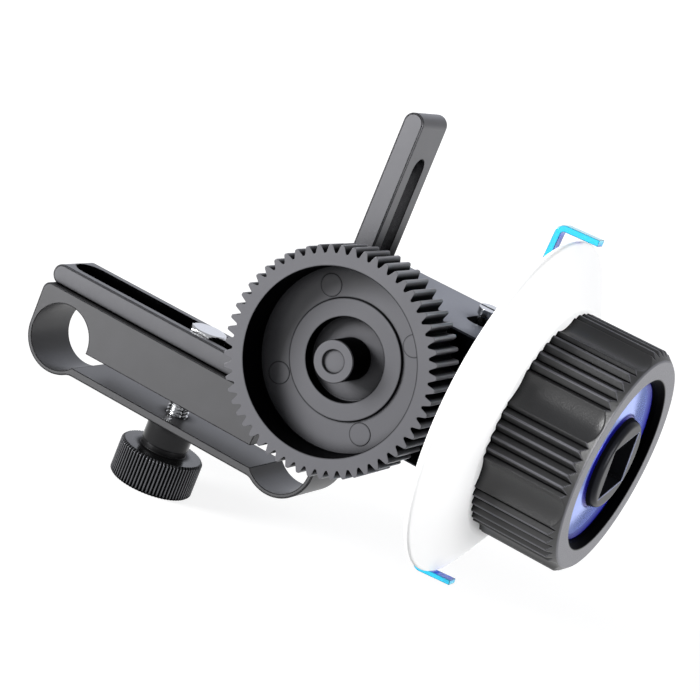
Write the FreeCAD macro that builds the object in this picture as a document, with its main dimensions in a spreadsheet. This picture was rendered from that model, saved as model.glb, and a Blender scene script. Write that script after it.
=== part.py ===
"""Follow focus unit for a camera rig on two 15 mm rods.

Frame, in millimetres: the origin lies midway between the two rod axes, on the front face of the
rod clamp. +X points to the hand wheel, +Y to the back along the rods, and +Z up along the bracket.
"""
import FreeCAD
import Part
import Sketcher
import math
import os

VEC = FreeCAD.Vector
DOC = FreeCAD.newDocument("follow_focus")

# Driving dimensions. Lengths in millimetres, angles in degrees.
DRIVING = {
    # rods and rod clamp
    "rod_diameter": 15.0,
    "rod_spacing": 60.0,
    "rod_play": 0.05,
    "ring_wall": 1.0,
    "clamp_depth": 15.6,
    "bore_top_wall": 1.65,
    "clamp_corner_radius": 2.0,
    "gap_top": -0.55,
    "gap_height": 4.48,
    "leaf_thickness": 1.85,
    "leaf_fillet": 3.0,
    "clamp_edge": 0.25,
    # clamp bolt, collar and knob
    "bolt_diameter": 5.0,
    "bolt_play": 0.1,
    "turning_play": 0.05,
    "head_width": 8.0,
    "head_height": 3.5,
    "head_edge": 0.4,
    "bolt_reach": 6.5,
    "bolt_end_gap": 0.7,
    "collar_radius": 5.4,
    "collar_height": 5.3,
    "knob_neck_radius": 5.2,
    "knob_neck_height": 1.45,
    "knob_radius": 9.55,
    "knob_height": 8.3,
    "knob_edge": 0.5,
    "knob_ridges": 72,
    "knurl_depth": 0.32,
    "face_gap": 0.05,
    # bracket
    "bracket_thickness": 4.6,
    "bracket_depth": 13.0,
    "bracket_edge": 0.3,
    "bracket_end_flat": 0.02,
    "foot_end_inset": 0.35,
    "upright_right": 31.0,
    "upright_end_land": 11.9,
    "head_play": 0.1,
    "web_thickness": 1.85,
    "foot_end_land": 6.1,
    "foot_slot_end": 13.9,
    "pin_end_room": 0.9,
    "lift_travel": 30.0,
    # gearbox housing
    "shaft_height": 30.0,
    "wheel_axis_y": 12.5,
    "gear_axis_offset": 10.0,
    "cap_depth": 8.7,
    "front_wall": 7.0,
    "back_depth": 13.0,
    "housing_half_height": 14.8,
    "housing_edge": 0.4,
    "mitre_tip_room": 0.9,
    "mitre_hub_room": 1.0,
    "output_bearing_room": 5.5,
    "chamber_side_room": 1.6,
    "cover_thickness": 2.0,
    "cover_side_margin": 2.1,
    "cover_end_margin": 5.0,
    "cover_screw_inset": 2.5,
    "small_screw_radius": 1.0,
    "small_screw_head_radius": 1.8,
    "small_screw_head_height": 1.2,
    "small_screw_length": 5.0,
    "drive_slot_width": 0.5,
    "drive_slot_depth": 0.5,
    # drag ring and its pocket
    "ring_pocket_radius": 11.8,
    "ring_play": 0.3,
    "inner_bush_length": 4.2,
    "ring_width": 5.0,
    "ring_end_gap": 0.3,
    "sleeve_radius": 6.0,
    "cap_ledge_width": 0.5,
    "cap_flange_thickness": 1.5,
    "drag_slot_width": 5.2,
    "drag_slot_length": 17.0,
    "drag_screw_angle": 9.6,
    "drag_screw_radius": 1.75,
    "drag_screw_stand": 3.4,
    "drag_screw_depth": 3.0,
    "drag_head_radius": 2.2,
    "drag_head_height": 1.6,
    "drag_slot_cut": 0.8,
    # bearings, shafts and clips
    "shaft_radius": 2.5,
    "bush_wall": 1.45,
    "bush_flange": 1.0,
    "bush_flange_thickness": 0.8,
    "clip_thickness": 0.8,
    "clip_groove": 0.4,
    "clip_wall": 2.5,
    "clip_gap": 0.3,
    "clip_mouth_share": 0.8,
    # mitre gears
    "mitre_teeth": 16,
    "mitre_module": 0.6,
    "mitre_face": 1.5,
    "mitre_backlash": 0.30,
    "mitre_hub_wall": 2.2,
    "mitre_hub_length": 3.2,
    "mitre_nose": 0.2,
    "cutter_overrun": 0.3,
    "journal_step": 0.7,
    "grub_radius": 1.0,
    "grub_inset": 1.6,
    "pressure_angle": 20.0,
    "dedendum": 1.25,
    # drive gear
    "drive_teeth": 57,
    "drive_module": 0.8,
    "gear_face_width": 11.1,
    "gear_hub_stand": 3.2,
    "gear_phase": 0.6,
    "gear_rim_wall": 2.6,
    "gear_floor_thickness": 2.95,
    "gear_step_radius": 12.6,
    "gear_step_height": 0.55,
    "gear_pocket_radius": 8.75,
    "gear_web": 3.0,
    "gear_hub_radius": 10.0,
    "gear_hub_gap": 0.5,
    "retainer_radius": 4.4,
    "retainer_inset": 2.2,
    "retainer_recess_radius": 2.4,
    "retainer_recess_depth": 0.6,
    "end_screw_radius": 1.25,
    "retainer_stud_length": 6.0,
    "ejector_radius": 2.4,
    "ejector_ring": 15.4,
    "ejector_angle": 36.0,
    "ejector_groove": 0.15,
    # wheel stack
    "carrier_hub_radius": 5.5,
    "carrier_flange_radius": 15.0,
    "carrier_flange_thickness": 1.8,
    "disc_web": 2.0,
    "disc_rim_radius": 38.5,
    "disc_dish_depth": 6.7,
    "disc_cone_margin": 1.0,
    "disc_rim_edge": 0.8,
    "wheel_stand": 12.0,
    "wheel_width": 19.5,
    "wheel_radius": 25.3,
    "wheel_front_round": 1.5,
    "wheel_skin": 3.8,
    "wheel_hub_radius": 13.0,
    "wheel_front_wall": 9.7,
    "wheel_rim_width": 6.0,
    "opening_slope_run": 1.1,
    "dish_edge_depth": 2.9,
    "dish_boss_depth": 1.8,
    "dish_seat_depth": 5.7,
    "groove_count": 8,
    "groove_group": 5,
    "groove_pitch": 6.0,
    "groove_depth": 1.0,
    "groove_half_angle": 50.0,
    "groove_phase": 177.5,
    "scallop_phase": 155.0,
    "scallop_depth": 1.6,
    "scallop_cutter": 6.8,
    "scallop_end_depth": 4.8,
    "socket_stand": 0.3,
    "socket_corner_wall": 0.8,
    "socket_flare": 0.9,
    "socket_seat_depth": 10.7,
    "socket_hole": 12.0,
    "socket_depth": 8.0,
    "socket_angle": -30.0,
    "socket_edge": 0.5,
    "wheel_screw_head_radius": 3.0,
    "wheel_screw_head_height": 2.2,
    "wheel_screw_length": 8.0,
    "wheel_screw_hex": 2.5,
    # pointers
    "pointer_y": 11.2,
    "pointer_width": 3.0,
    "pointer_thickness": 1.3,
    "pointer_rim_gap": 0.6,
    "pointer_overhang": 5.7,
    "pointer_bend": 2.0,
    "pointer_foot_start": 6.0,
    "pointer_foot_end": 12.0,
    "pointer_foot_width": 5.0,
    "pointer_screw_ring": 9.0,
    # lock knob, washer and guide pins
    "lock_knob_radius": 7.5,
    "lock_knob_length": 10.5,
    "lock_knob_ridges": 48,
    "washer_radius": 6.0,
    "washer_thickness": 0.8,
    "stud_end_gap": 0.2,
    "guide_pin_offset": 6.5,
    "guide_pin_depth": 2.6,
    "guide_pin_short": 1.0,
}


class Size:
    """A value together with the spreadsheet expression that gives it."""

    def __init__(self, value, text):
        self.value = float(value)
        self.text = text

    def joined(self, other, sign, value):
        return Size(value, f"({self.text} {sign} {other.text})")

    def __add__(self, other):
        other = as_size(other)
        return self.joined(other, "+", self.value + other.value)

    def __sub__(self, other):
        other = as_size(other)
        return self.joined(other, "-", self.value - other.value)

    def __mul__(self, other):
        other = as_size(other)
        return self.joined(other, "*", self.value * other.value)

    def __truediv__(self, other):
        other = as_size(other)
        return self.joined(other, "/", self.value / other.value)

    def __radd__(self, other):
        return as_size(other) + self

    def __rsub__(self, other):
        return as_size(other) - self

    def __rmul__(self, other):
        return as_size(other) * self

    def __rtruediv__(self, other):
        return as_size(other) / self

    def __neg__(self):
        return Size(-self.value, f"(-{self.text})")


def as_size(value):
    return value if isinstance(value, Size) else Size(value, f"({float(value)!r})")


def root(size):
    return Size(math.sqrt(size.value), f"sqrt({size.text})")


def cosine(angle):
    angle = as_size(angle)
    return Size(math.cos(math.radians(angle.value)), f"cos({angle.text})")


def sine(angle):
    angle = as_size(angle)
    return Size(math.sin(math.radians(angle.value)), f"sin({angle.text})")


def tangent(angle):
    angle = as_size(angle)
    return Size(math.tan(math.radians(angle.value)), f"tan({angle.text})")


class Sheet:
    """The driving dimensions as attributes, each bound to its own spreadsheet cell."""

    def __init__(self, values):
        sheet = DOC.addObject("Spreadsheet::Sheet", "Sizes")
        for row, (name, value) in enumerate(values.items(), start=1):
            sheet.set(f"A{row}", name)
            sheet.set(f"B{row}", str(value))
            sheet.setAlias(f"B{row}", name)
            setattr(self, name, Size(value, f"Sizes.{name}"))


s = Sheet(DRIVING)
DOC.recompute()

# Places that several pieces share, worked out from the driving dimensions.
rod_x = s.rod_spacing / 2
bore_radius = s.rod_diameter / 2 + s.rod_play
ring_radius = bore_radius + s.ring_wall
clamp_half_width = rod_x + ring_radius
clamp_top = ring_radius + s.bore_top_wall
gap_bottom = s.gap_top - s.gap_height
leaf_bottom = gap_bottom - s.leaf_thickness
bolt_y = s.clamp_depth / 2
bolt_radius = s.bolt_diameter / 2
bolt_hole_radius = bolt_radius + s.bolt_play
turning_hole_radius = bolt_radius + s.turning_play

foot_bottom = clamp_top + s.face_gap
foot_top = foot_bottom + s.bracket_thickness
foot_left = s.foot_end_inset - clamp_half_width
foot_slot_start = foot_left + s.foot_end_land
slot_floor = foot_bottom + s.web_thickness
bolt_head_bottom = slot_floor + s.face_gap
collar_bottom = leaf_bottom - s.collar_height
knob_top = collar_bottom - s.face_gap
knob_shoulder = knob_top - s.knob_neck_height
knob_bottom = knob_shoulder - s.knob_height
bolt_end = knob_shoulder - s.bolt_reach
head_slot_radius = s.head_width / 2 + s.head_play

# The upright's slot leaves the two guide pins their whole travel.
upright_slot_start = s.shaft_height - s.guide_pin_offset - s.pin_end_room
upright_slot_end = s.shaft_height + s.lift_travel + s.guide_pin_offset + s.pin_end_room
upright_top = upright_slot_end + s.upright_end_land
bracket_front = bolt_y - s.bracket_depth / 2
upright_left = s.upright_right - s.bracket_thickness

mitre_radius = s.mitre_module * s.mitre_teeth / 2
mitre_small = mitre_radius - s.mitre_face
mitre_hub_end = mitre_radius + s.mitre_hub_length
journal_radius = s.shaft_radius - s.journal_step
mitre_hub_radius = journal_radius + s.mitre_hub_wall
bush_radius = s.shaft_radius + s.bush_wall
bush_bore = s.shaft_radius + s.turning_play
flange_radius = bush_radius + s.bush_flange
groove_bottom = s.shaft_radius - s.clip_groove
clip_radius = groove_bottom + s.clip_wall

# The gear chamber is built around the point where the two shafts' axes cross.
gear_axis_x = s.upright_right + s.gear_axis_offset
chamber_left = gear_axis_x - mitre_radius - s.mitre_module - s.mitre_tip_room
chamber_right = gear_axis_x + mitre_hub_end + s.mitre_hub_room
chamber_front = s.wheel_axis_y - mitre_hub_end - s.output_bearing_room
chamber_half_height = mitre_radius + s.mitre_module + s.chamber_side_room
housing_left = s.upright_right + s.face_gap
housing_top = s.shaft_height + s.housing_half_height
housing_bottom = s.shaft_height - s.housing_half_height
housing_front = chamber_front - s.front_wall
housing_back = s.wheel_axis_y + s.back_depth

pocket_floor = chamber_right + s.inner_bush_length
ring_left = pocket_floor + s.ring_end_gap
ring_right = ring_left + s.ring_width
ring_radius_out = s.ring_pocket_radius - s.ring_play
housing_right = ring_left + s.cap_depth
cap_left = ring_right + s.ring_end_gap + s.face_gap
cap_ledge = housing_right - s.cap_flange_thickness
cap_flange_radius = s.ring_pocket_radius + s.cap_ledge_width
cap_front = housing_right + s.bush_flange_thickness
drag_screw_top = s.housing_half_height + s.drag_screw_stand
input_clip_at = cap_front + s.clip_gap
output_clip_at = chamber_front + s.bush_flange_thickness + s.clip_gap

gear_hub_back = housing_front - s.gear_hub_gap
gear_pocket_floor = gear_hub_back - s.gear_web
gear_back = housing_front - s.gear_hub_stand
gear_front = gear_back - s.gear_face_width
gear_floor = gear_back - s.gear_floor_thickness
gear_pitch_radius = s.drive_teeth * s.drive_module / 2
gear_root_radius = gear_pitch_radius - s.drive_module * s.dedendum
gear_rim_radius = gear_root_radius - s.gear_rim_wall
retainer_front = gear_front + s.retainer_inset

wheel_back = housing_right + s.wheel_stand
wheel_front = wheel_back + s.wheel_width
carrier_left = input_clip_at + s.clip_thickness + s.clip_gap
carrier_right = wheel_back - s.disc_web
carrier_flange_left = carrier_right - s.carrier_flange_thickness
disc_rim_x = wheel_back - s.disc_dish_depth
disc_cone_radius = s.wheel_radius + s.disc_cone_margin
wheel_hollow_end = wheel_front - s.wheel_front_wall
opening_radius = s.wheel_radius - s.wheel_rim_width
dish_radius = opening_radius - s.opening_slope_run
dish_edge_x = wheel_front - s.dish_edge_depth
dish_boss_x = wheel_front - s.dish_boss_depth
dish_back = wheel_front - s.dish_seat_depth
scallop_end = wheel_front - s.scallop_end_depth
socket_half_diagonal = s.socket_hole / root(as_size(2))
socket_nose_radius = socket_half_diagonal + s.socket_corner_wall
socket_base_radius = socket_nose_radius + s.socket_flare
socket_front = wheel_front + s.socket_stand
socket_back = wheel_front - s.socket_seat_depth
socket_floor = socket_front - s.socket_depth
wheel_screw_end = socket_floor - s.wheel_screw_length

pointer_reach = s.disc_rim_radius + s.pointer_rim_gap + s.pointer_thickness
pointer_end = disc_rim_x + s.pointer_overhang

# ---------------------------------------------------------------------------------------------
# Drawing helpers. Axis names X, Y and Z are the part's own directions.

NORMAL_PLANE = {"X": "YZ_Plane", "Y": "XZ_Plane", "Z": "XY_Plane"}
# The XZ plane faces -Y, so distances along Y change sign there.
NORMAL_SIGN = {"X": 1, "Y": -1, "Z": 1}
PARTS = []


def new_body(label):
    body = DOC.addObject("PartDesign::Body", label)
    body.Label = label
    PARTS.append(body)
    return body


def origin_part(body, role):
    return next(part for part in body.Origin.OriginFeatures if part.Role == role)


def bind(thing, target, size):
    thing.setExpression(target, as_size(size).text)


def move(body, x=0, y=0, z=0, axis=None, angle=0):
    """Place a body; its position and its turn about one axis stay bound to the sheet."""
    x, y, z, angle = as_size(x), as_size(y), as_size(z), as_size(angle)
    turn = FreeCAD.Rotation(axis or VEC(0, 0, 1), angle.value)
    body.Placement = FreeCAD.Placement(VEC(x.value, y.value, z.value), turn)
    for name, value in (("x", x), ("y", y), ("z", z)):
        bind(body, f"Placement.Base.{name}", value)
    if axis is not None:
        bind(body, "Placement.Rotation.Angle", angle)


def sketch_on(body, axis, at=0):
    """A sketch square to an axis, at a distance along it."""
    sketch = body.newObject("Sketcher::SketchObject", "Sketch")
    sketch.AttachmentSupport = [(origin_part(body, NORMAL_PLANE[axis]), "")]
    sketch.MapMode = "FlatFace"
    bind(sketch, "AttachmentOffset.Base.z", as_size(at) * NORMAL_SIGN[axis])
    return sketch


def constrain(sketch, kind, *where, size):
    index = sketch.addConstraint(Sketcher.Constraint(kind, *where, size.value))
    bind(sketch, f"Constraints[{index}]", size)


def pin(sketch, geometry, vertex, x, y):
    """Hold a point of the sketch at x, y; a plain zero puts it on the axis."""
    for kind, axis, value in (("DistanceX", -2, x), ("DistanceY", -1, y)):
        if isinstance(value, (int, float)) and value == 0:
            sketch.addConstraint(Sketcher.Constraint("PointOnObject", geometry, vertex, axis))
        else:
            constrain(sketch, kind, -1, 1, geometry, vertex, size=as_size(value))


def polygon(points):
    def draw(sketch):
        corners = [VEC(as_size(x).value, as_size(y).value, 0) for x, y in points]
        first = sketch.GeometryCount
        count = len(corners)
        for index, corner in enumerate(corners):
            sketch.addGeometry(Part.LineSegment(corner, corners[(index + 1) % count]))
        for index in range(count):
            following = first + (index + 1) % count
            sketch.addConstraint(Sketcher.Constraint("Coincident", first + index, 2, following, 1))
        for index, (x, y) in enumerate(points):
            pin(sketch, first + index, 1, x, y)
    return draw


def spun(points, angle):
    """Points turned about the sketch's origin."""
    across, up = cosine(angle), sine(angle)
    return [(x * across - y * up, x * up + y * across) for x, y in points]


def rectangle(left, bottom, right, top):
    return polygon([(left, bottom), (right, bottom), (right, top), (left, top)])


def circle(x, y, radius):
    def draw(sketch):
        centre = VEC(as_size(x).value, as_size(y).value, 0)
        index = sketch.addGeometry(Part.Circle(centre, VEC(0, 0, 1), as_size(radius).value))
        constrain(sketch, "Radius", index, size=as_size(radius))
        pin(sketch, index, 3, x, y)
    return draw


def long_hole(start, end, across, radius, upright=False):
    """A slot outline with round ends, its arc centres at start and end along one direction."""
    def draw(sketch):
        low, high, side, size = (as_size(v) for v in (start, end, across, radius))
        turn = math.pi / 2 if upright else 0

        def point(along, over):
            return VEC(over, along, 0) if upright else VEC(along, over, 0)

        side_sign = -1 if upright else 1
        reach = side_sign * size.value
        arc_high = Part.ArcOfCircle(Part.Circle(point(high.value, side.value), VEC(0, 0, 1), size.value),
                                    -math.pi / 2 + turn, math.pi / 2 + turn)
        arc_low = Part.ArcOfCircle(Part.Circle(point(low.value, side.value), VEC(0, 0, 1), size.value),
                                   math.pi / 2 + turn, 3 * math.pi / 2 + turn)
        first = sketch.addGeometry(arc_high)
        sketch.addGeometry(Part.LineSegment(point(high.value, side.value + reach),
                                            point(low.value, side.value + reach)))
        sketch.addGeometry(arc_low)
        sketch.addGeometry(Part.LineSegment(point(low.value, side.value - reach),
                                            point(high.value, side.value - reach)))
        for index in range(4):
            following = first + (index + 1) % 4
            sketch.addConstraint(Sketcher.Constraint("Tangent", first + index, 2, following, 1))
        for arc, place in ((first, end), (first + 2, start)):
            if upright:
                pin(sketch, arc, 3, across, place)
            else:
                pin(sketch, arc, 3, place, across)
        constrain(sketch, "Radius", first, size=size)
    return draw


def extruded(body, kind, axis, start, end, *drawings):
    sketch = sketch_on(body, axis, start)
    for draw in drawings:
        draw(sketch)
    feature = body.newObject(f"PartDesign::{kind}", kind)
    feature.Profile = sketch
    bind(feature, "Length", as_size(end) - start)
    # A pad grows along the sketch's normal and a pocket against it.
    along_normal = NORMAL_SIGN[axis] > 0
    feature.Reversed = along_normal if kind == "Pocket" else not along_normal
    return feature


def pad(body, axis, start, end, *drawings):
    return extruded(body, "Pad", axis, start, end, *drawings)


def cut(body, axis, start, end, *drawings):
    return extruded(body, "Pocket", axis, start, end, *drawings)


def turned(body, axis, points, kind="Revolution"):
    """Turn a profile about an axis. Each point is (place along the axis, radius)."""
    if axis == "X":
        sketch, turn_axis, profile = sketch_on(body, "Z"), "H_Axis", points
    else:
        sketch, turn_axis = sketch_on(body, "Z" if axis == "Y" else "Y"), "V_Axis"
        profile = [(radius, along) for along, radius in points]
    polygon(profile)(sketch)
    feature = body.newObject(f"PartDesign::{kind}", kind)
    feature.Profile = sketch
    feature.ReferenceAxis = (sketch, [turn_axis])
    feature.Angle = 360
    return feature


def tube(body, axis, start, end, outer, inner=0):
    return turned(body, axis, [(start, inner), (end, inner), (end, outer), (start, outer)])


def around(body, axis, features, count):
    """Repeat features evenly about one of the body's own axes."""
    pattern = body.newObject("PartDesign::PolarPattern", "PolarPattern")
    pattern.Originals = features
    pattern.Axis = (origin_part(body, f"{axis}_Axis"), [""])
    pattern.Angle = 360
    bind(pattern, "Occurrences", count)
    body.Tip = pattern
    return pattern


def eased(body, kind, size, test):
    """Fillet or chamfer the edges of the body's tip that pass a test."""
    DOC.recompute()
    base = body.Tip
    names = [f"Edge{index}" for index, edge in enumerate(base.Shape.Edges, start=1) if test(edge)]
    feature = body.newObject(f"PartDesign::{kind}", kind)
    feature.Base = (base, names)
    bind(feature, "Radius" if kind == "Fillet" else "Size", size)
    return feature


def near(value, size):
    return abs(value - as_size(size).value) < 1e-4


def runs_along(edge, axis):
    """True for a straight edge parallel to the axis."""
    if edge.Curve.TypeId != "Part::GeomLine":
        return False
    return near(abs(edge.Curve.Direction.dot(axis)), 1)


def in_plane(edge, places):
    """True for an edge that lies in a plane square to Y at one of the places."""
    box = edge.BoundBox
    return any(near(box.YMin, place) and near(box.YMax, place) for place in places)


def ridged(body, axis, start, end, radius, depth, count):
    """Cut a straight knurl: V-shaped grooves side by side around a cylinder."""
    half = Size(math.pi, "pi") * radius / count
    groove = polygon([(-half, radius), (0, radius - depth), (half, radius), (0, radius + depth)])
    around(body, axis, [cut(body, axis, start, end, groove)], count)


def hexagon(width, x=0, y=0):
    """A hexagon with two flats parallel to the sketch's first axis, given across its flats."""
    half = width / 2
    corner = width / root(as_size(3))
    points = [(x + corner, y), (x + corner / 2, y + half), (x - corner / 2, y + half),
              (x - corner, y), (x - corner / 2, y - half), (x + corner / 2, y - half)]
    return polygon(points)


# ---------------------------------------------------------------------------------------------
# Rod clamp group


def rod_clamp():
    """Split clamp: two rod rings joined by a block above the gap and a thin leaf below it."""
    body = new_body("rod_clamp")
    pad(body, "Y", 0, s.clamp_depth,
        polygon([(-clamp_half_width, 0), (-rod_x, 0), (-rod_x, s.gap_top), (rod_x, s.gap_top),
                 (rod_x, 0), (clamp_half_width, 0), (clamp_half_width, clamp_top),
                 (-clamp_half_width, clamp_top)]))
    for side in (-1, 1):
        pad(body, "Y", 0, s.clamp_depth, circle(rod_x * side, 0, ring_radius))
    pad(body, "Y", 0, s.clamp_depth, rectangle(-rod_x, leaf_bottom, rod_x, gap_bottom))
    for side in (-1, 1):
        cut(body, "Y", 0, s.clamp_depth, circle(rod_x * side, 0, bore_radius))
    inner = rod_x - bore_radius / 2
    cut(body, "Y", 0, s.clamp_depth, rectangle(-inner, gap_bottom, inner, s.gap_top))
    cut(body, "Z", leaf_bottom, clamp_top, circle(0, bolt_y, bolt_hole_radius))

    def top_corner(edge):
        return runs_along(edge, VEC(0, 1, 0)) and near(edge.BoundBox.ZMin, clamp_top)

    def under_leaf(edge):
        inside = edge.BoundBox.XMax < rod_x.value and edge.BoundBox.XMin > -rod_x.value
        return runs_along(edge, VEC(0, 1, 0)) and near(edge.BoundBox.ZMin, leaf_bottom) and inside

    def face_edge(edge):
        in_bore = edge.Curve.TypeId == "Part::GeomCircle" and near(edge.Curve.Radius, bore_radius)
        in_gap = near(edge.BoundBox.ZMin, s.gap_top) or near(edge.BoundBox.ZMin, gap_bottom)
        return in_plane(edge, (0, s.clamp_depth)) and not in_bore and not in_gap

    eased(body, "Fillet", s.clamp_corner_radius, top_corner)
    eased(body, "Fillet", s.leaf_fillet, under_leaf)
    eased(body, "Chamfer", s.clamp_edge, face_edge)
    return body


def clamp_bolt():
    """Hexagon bolt: the head runs in the T-slot with two flats along the slot."""
    body = new_body("clamp_bolt")
    head_top = bolt_head_bottom + s.head_height
    tube(body, "Z", bolt_end, bolt_head_bottom, bolt_radius)
    pad(body, "Z", bolt_head_bottom, head_top, hexagon(s.head_width))

    def head_rim(edge):
        return near(edge.BoundBox.ZMin, head_top)

    eased(body, "Chamfer", s.head_edge, head_rim)
    move(body, y=bolt_y)
    return body


def spacer_collar():
    body = new_body("spacer_collar")
    tube(body, "Z", collar_bottom, leaf_bottom, s.collar_radius, bolt_hole_radius)
    move(body, y=bolt_y)
    return body


def knob_profile(body, axis, face, shoulder, end, hole_end, neck, radius, hole):
    """A knob turned about an axis, with a neck, chamfered rims and a blind hole from the neck."""
    step = s.knob_edge if end.value > face.value else -s.knob_edge
    turned(body, axis, [(face, hole), (face, neck), (shoulder, neck), (shoulder, radius - s.knob_edge),
                        (shoulder + step, radius), (end - step, radius), (end, radius - s.knob_edge),
                        (end, 0), (hole_end, 0), (hole_end, hole)])


def clamp_knob():
    body = new_body("clamp_knob")
    hole_end = bolt_end - s.bolt_end_gap
    knob_profile(body, "Z", knob_top, knob_shoulder, knob_bottom, hole_end,
                 s.knob_neck_radius, s.knob_radius, turning_hole_radius)
    ridged(body, "Z", knob_bottom, knob_shoulder, s.knob_radius, s.knurl_depth, s.knob_ridges)
    move(body, y=bolt_y)
    return body


# ---------------------------------------------------------------------------------------------
# Bracket


def bracket():
    """L-shaped bracket: a foot with a T-slot along X and an upright with a slot along Z."""
    body = new_body("bracket")
    back = bracket_front + s.bracket_depth
    pad(body, "Y", bracket_front, back,
        polygon([(foot_left, foot_bottom), (s.upright_right, foot_bottom),
                 (s.upright_right, upright_top), (upright_left, upright_top),
                 (upright_left, foot_top), (foot_left, foot_top)]))
    cut(body, "Z", foot_bottom, foot_top,
        long_hole(foot_slot_start, s.foot_slot_end, bolt_y, bolt_hole_radius))
    cut(body, "Z", slot_floor, foot_top,
        long_hole(foot_slot_start, s.foot_slot_end, bolt_y, head_slot_radius))
    cut(body, "X", upright_left, s.upright_right,
        long_hole(upright_slot_start, upright_slot_end, bolt_y, bolt_hole_radius, upright=True))

    def round_end(edge):
        box = edge.BoundBox
        at_foot = near(box.XMax, foot_left)
        at_top = near(box.ZMin, upright_top)
        return runs_along(edge, VEC(0, 1, 0)) and (at_foot or at_top)

    # A thin flat stays between the two rounds of each end.
    eased(body, "Fillet", (s.bracket_thickness - s.bracket_end_flat) / 2, round_end)
    eased(body, "Chamfer", s.bracket_edge, lambda edge: in_plane(edge, (bracket_front, back)))
    return body


# ---------------------------------------------------------------------------------------------
# Gearbox


def cover_box():
    """Left, right, bottom and top of the back cover."""
    left = chamber_left - s.cover_side_margin
    right = chamber_right + s.cover_side_margin
    reach = chamber_half_height + s.cover_end_margin
    return left, right, s.shaft_height - reach, s.shaft_height + reach


def cover_rectangle():
    left, right, bottom, top = cover_box()
    return left, bottom, right, top


def cover_screw_places():
    left, right, bottom, top = cover_box()
    inset = s.cover_screw_inset
    return [(x, z) for x in (left + inset, right - inset) for z in (bottom + inset, top - inset)]


def gearbox_housing():
    """Machined block with a gear chamber, two bearing bores, the drag ring pocket and its slot."""
    body = new_body("gearbox_housing")
    height, axis_y, axis_x = s.shaft_height, s.wheel_axis_y, gear_axis_x
    pad(body, "Y", housing_front, housing_back,
        rectangle(housing_left, housing_bottom, housing_right, housing_top))

    def outer_edge(edge):
        box = edge.BoundBox
        return not (near(box.XMin, housing_left) and near(box.XMax, housing_left))

    eased(body, "Chamfer", s.housing_edge, outer_edge)
    cover_seat = housing_back - s.cover_thickness
    cut(body, "Y", chamber_front, cover_seat,
        rectangle(chamber_left, height - chamber_half_height,
                  chamber_right, height + chamber_half_height))
    cut(body, "Y", cover_seat, housing_back, rectangle(*cover_rectangle()))
    for x, z in cover_screw_places():
        depth = s.small_screw_length - s.cover_thickness
        cut(body, "Y", cover_seat - depth, cover_seat, circle(x, z, s.small_screw_radius))
    cut(body, "Y", housing_front, chamber_front, circle(axis_x, height, bush_radius))
    cut(body, "X", chamber_right, pocket_floor, circle(axis_y, height, bush_radius))
    cut(body, "X", pocket_floor, housing_right, circle(axis_y, height, s.ring_pocket_radius))
    cut(body, "X", cap_ledge, housing_right, circle(axis_y, height, cap_flange_radius))
    slot_x = ring_left + s.ring_width / 2
    slot_reach = (s.drag_slot_length - s.drag_slot_width) / 2
    cut(body, "Z", height, housing_top,
        long_hole(axis_y - slot_reach, axis_y + slot_reach, slot_x, s.drag_slot_width / 2, upright=True))
    cut(body, "X", housing_left, chamber_left, circle(bolt_y, height, turning_hole_radius))
    for side in (-1, 1):
        place = height + s.guide_pin_offset * side
        cut(body, "X", housing_left, housing_left + s.guide_pin_depth,
            circle(bolt_y, place, bolt_radius))
    return body


def back_cover():
    body = new_body("back_cover")
    seat = housing_back - s.cover_thickness
    pad(body, "Y", seat, housing_back, rectangle(*cover_rectangle()))
    for x, z in cover_screw_places():
        cut(body, "Y", seat, housing_back, circle(x, z, s.small_screw_radius))
    return body


def slotted_screw(body, axis, head_face, tip_way, places):
    """Pan-head screws side by side. tip_way is 1 or -1, the way the tips point along the axis."""
    tip = head_face + s.small_screw_length * tip_way
    head = head_face - s.small_screw_head_height * tip_way
    low, high = (tip, head_face) if tip_way < 0 else (head_face, tip)
    pad(body, axis, low, high, *[circle(x, y, s.small_screw_radius) for x, y in places])
    low, high = (head_face, head) if tip_way < 0 else (head, head_face)
    pad(body, axis, low, high, *[circle(x, y, s.small_screw_head_radius) for x, y in places])
    slot_floor_at = head + s.drive_slot_depth * tip_way
    low, high = (slot_floor_at, head) if tip_way < 0 else (head, slot_floor_at)
    reach, half = s.small_screw_head_radius, s.drive_slot_width / 2
    cut(body, axis, low, high,
        *[rectangle(x - reach, y - half, x + reach, y + half) for x, y in places])


def back_cover_screws():
    body = new_body("back_cover_screws")
    body.AllowCompound = True
    slotted_screw(body, "Y", housing_back, -1, cover_screw_places())
    return body


def end_cap():
    """Cap in the wheel side of the housing. Its sleeve carries the drag ring and the outer bush."""
    body = new_body("end_cap")
    left = ring_left
    turned(body, "X", [(left, bush_radius), (housing_right, bush_radius),
                       (housing_right, cap_flange_radius), (cap_ledge, cap_flange_radius),
                       (cap_ledge, s.ring_pocket_radius), (cap_left, s.ring_pocket_radius),
                       (cap_left, s.sleeve_radius), (left, s.sleeve_radius)])
    for side in (-1, 1):
        depth = s.small_screw_length - s.pointer_thickness
        place = circle(s.pointer_y - s.wheel_axis_y, s.pointer_screw_ring * side, s.small_screw_radius)
        cut(body, "X", housing_right - depth, housing_right, place)
    move(body, y=s.wheel_axis_y, z=s.shaft_height)
    return body


def flanged_bush(label, axis, start, end, flange_end):
    """A plain bearing bush. Its flange stands outward from start or end, up to flange_end."""
    body = new_body(label)
    if flange_end.value > end.value:
        points = [(start, bush_bore), (flange_end, bush_bore), (flange_end, flange_radius),
                  (end, flange_radius), (end, bush_radius), (start, bush_radius)]
    else:
        points = [(flange_end, bush_bore), (end, bush_bore), (end, bush_radius),
                  (start, bush_radius), (start, flange_radius), (flange_end, flange_radius)]
    turned(body, axis, points)
    return body


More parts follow.
